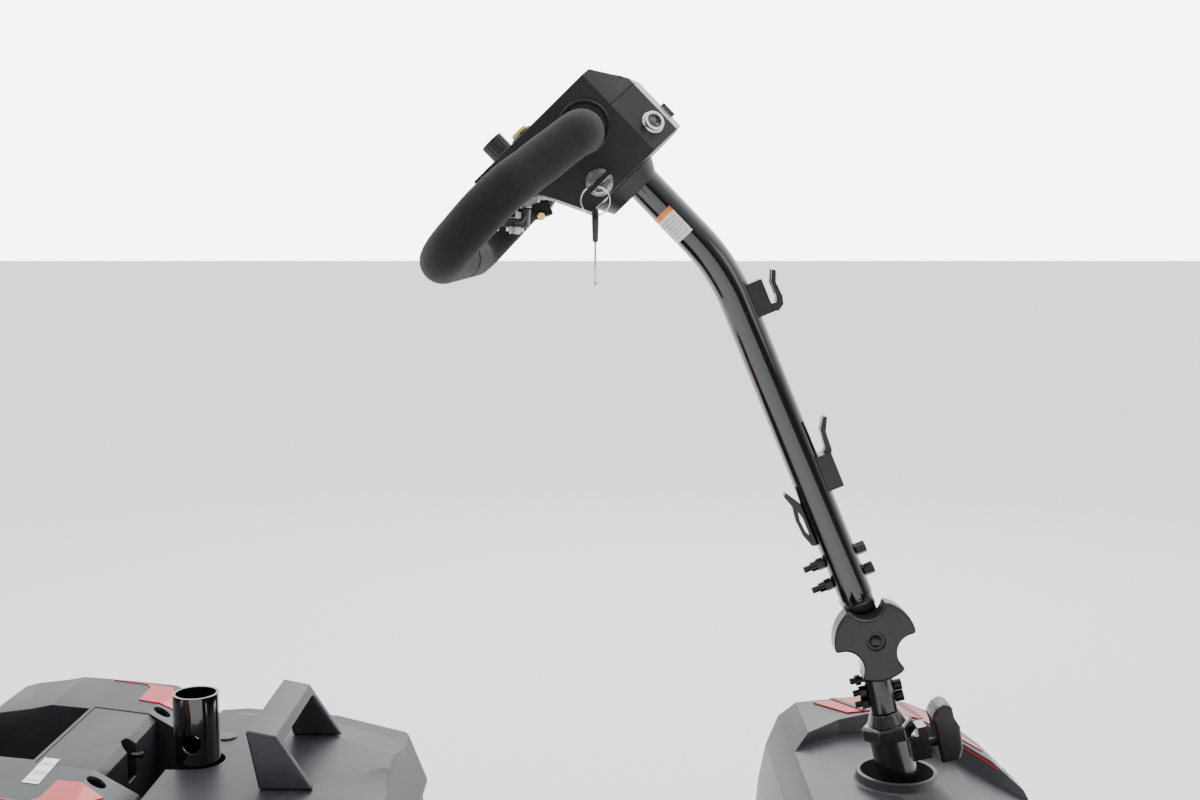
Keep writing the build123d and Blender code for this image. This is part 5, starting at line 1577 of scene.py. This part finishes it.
# ------------------------------------------------------------------ studio
@dataclass
class Studio:
    """The floor, the soft lights and the camera."""

    paintbox: Paintbox
    eye: Point = (0.095, -1.310, 0.755)
    pitch: float = 83.78
    lens: float = 43.23
    sensor: float = 36.0
    floor_half: float = 60.0
    backdrop: float = 1.7
    ceiling: float = 1.2
    room: float = 0.10
    paper: float = 7.0

    def build(self) -> None:
        """Set the stage."""
        self._floor()
        self._sky()
        lamp = self._lamp
        lamp("key", (-1.1, -1.6, 2.3), (0.0, 0.0, 0.4), 0.9, 15.0)
        lamp("fill", (1.9, -1.2, 1.5), (0.1, 0.0, 0.5), 0.8, 3.0)
        lamp("rim", (0.4, 2.1, 2.0), (0.1, 0.0, 0.5), 1.8, 30.0)
        lamp("top", (0.0, 0.2, 2.6), (0.05, 0.0, 0.3), 2.2, 8.0)
        data = bpy.data.cameras.new("camera")
        data.lens = self.lens
        data.sensor_width = self.sensor
        camera = bpy.data.objects.new("camera", data)
        camera.location = self.eye
        camera.rotation_euler = (math.radians(self.pitch), 0.0, 0.0)
        bpy.context.scene.collection.objects.link(camera)
        bpy.context.scene.camera = camera

    def _floor(self) -> None:
        """A wide pale floor."""
        made = bmesh.new()
        corners = [made.verts.new((x * self.floor_half, y * self.floor_half, 0))
                   for x, y in ((-1, -1), (1, -1), (1, 1), (-1, 1))]
        made.faces.new(corners)
        mesh = bpy.data.meshes.new("floor")
        made.to_mesh(mesh)
        made.free()
        mesh.materials.append(self.paintbox.get("studio_floor", StudioFloor()))
        floor = bpy.data.objects.new("floor", mesh)
        bpy.context.scene.collection.objects.link(floor)

    def _sky(self) -> None:
        """A pale surround: a lit backdrop and ceiling, and a darker room in front of them."""
        world = bpy.data.worlds.new("surround")
        world.use_nodes = True
        graph = Graph(world.node_tree)
        place = graph.node("ShaderNodeTexCoord").outputs["Generated"]
        split = graph.node("ShaderNodeSeparateXYZ", None, {0: place})
        back, high = Value(graph, split.outputs[1]), Value(graph, split.outputs[2])
        lit = back.between(-0.45, 0.55) * self.backdrop + high.between(0.15, 0.8) * self.ceiling + self.room
        seen = Value(graph, graph.node("ShaderNodeLightPath").outputs["Is Camera Ray"])
        glow = world.node_tree.nodes["Background"]
        graph.feed(glow.inputs[0], (0.985, 0.99, 1.0))
        graph.feed(glow.inputs[1], seen * self.paper + (1.0 - seen) * lit)
        bpy.context.scene.world = world

    def _lamp(self, name: str, place: Point, target: Point, size: float, power: float) -> None:
        """One soft square lamp that looks at a target."""
        data = bpy.data.lights.new(name, "AREA")
        data.shape = "SQUARE"
        data.size = size
        data.energy = power
        obj = bpy.data.objects.new(name, data)
        obj.location = place
        aim = Vector(target) - Vector(place)
        obj.rotation_euler = aim.to_track_quat("-Z", "Y").to_euler()
        bpy.context.scene.collection.objects.link(obj)


def main() -> None:
    """Build the scooter's sub-assemblies in order, and report each one."""
    logging.basicConfig(level=logging.INFO, format="%(name)s: %(message)s")
    paintbox = Paintbox()
    paintbox.get("label_white", MouldedPlastic((0.75, 0.75, 0.74), 0.4, dust=0.02))
    paintbox.get("tread_rubber", MouldedPlastic((0.02, 0.02, 0.021), 0.85, grain=1800.0, dust=0.3))
    shop = Workshop(paintbox)
    Studio(paintbox).build()
    for assembly in (HandlebarHead(shop), GripLoop(shop), ThrottleGear(shop), KeySet(shop), TillerColumn(shop),
                     SteeringColumn(shop), FrontHood(shop), RearCover(shop), BatteryPack(shop), RunningGear(shop),
                     Deck(shop)):
        assembly.build()
        LOG.info("%s is built", type(assembly).__name__)
    LOG.info("%d pieces made", len(shop.pieces))


if __name__ == "__main__":
    main()
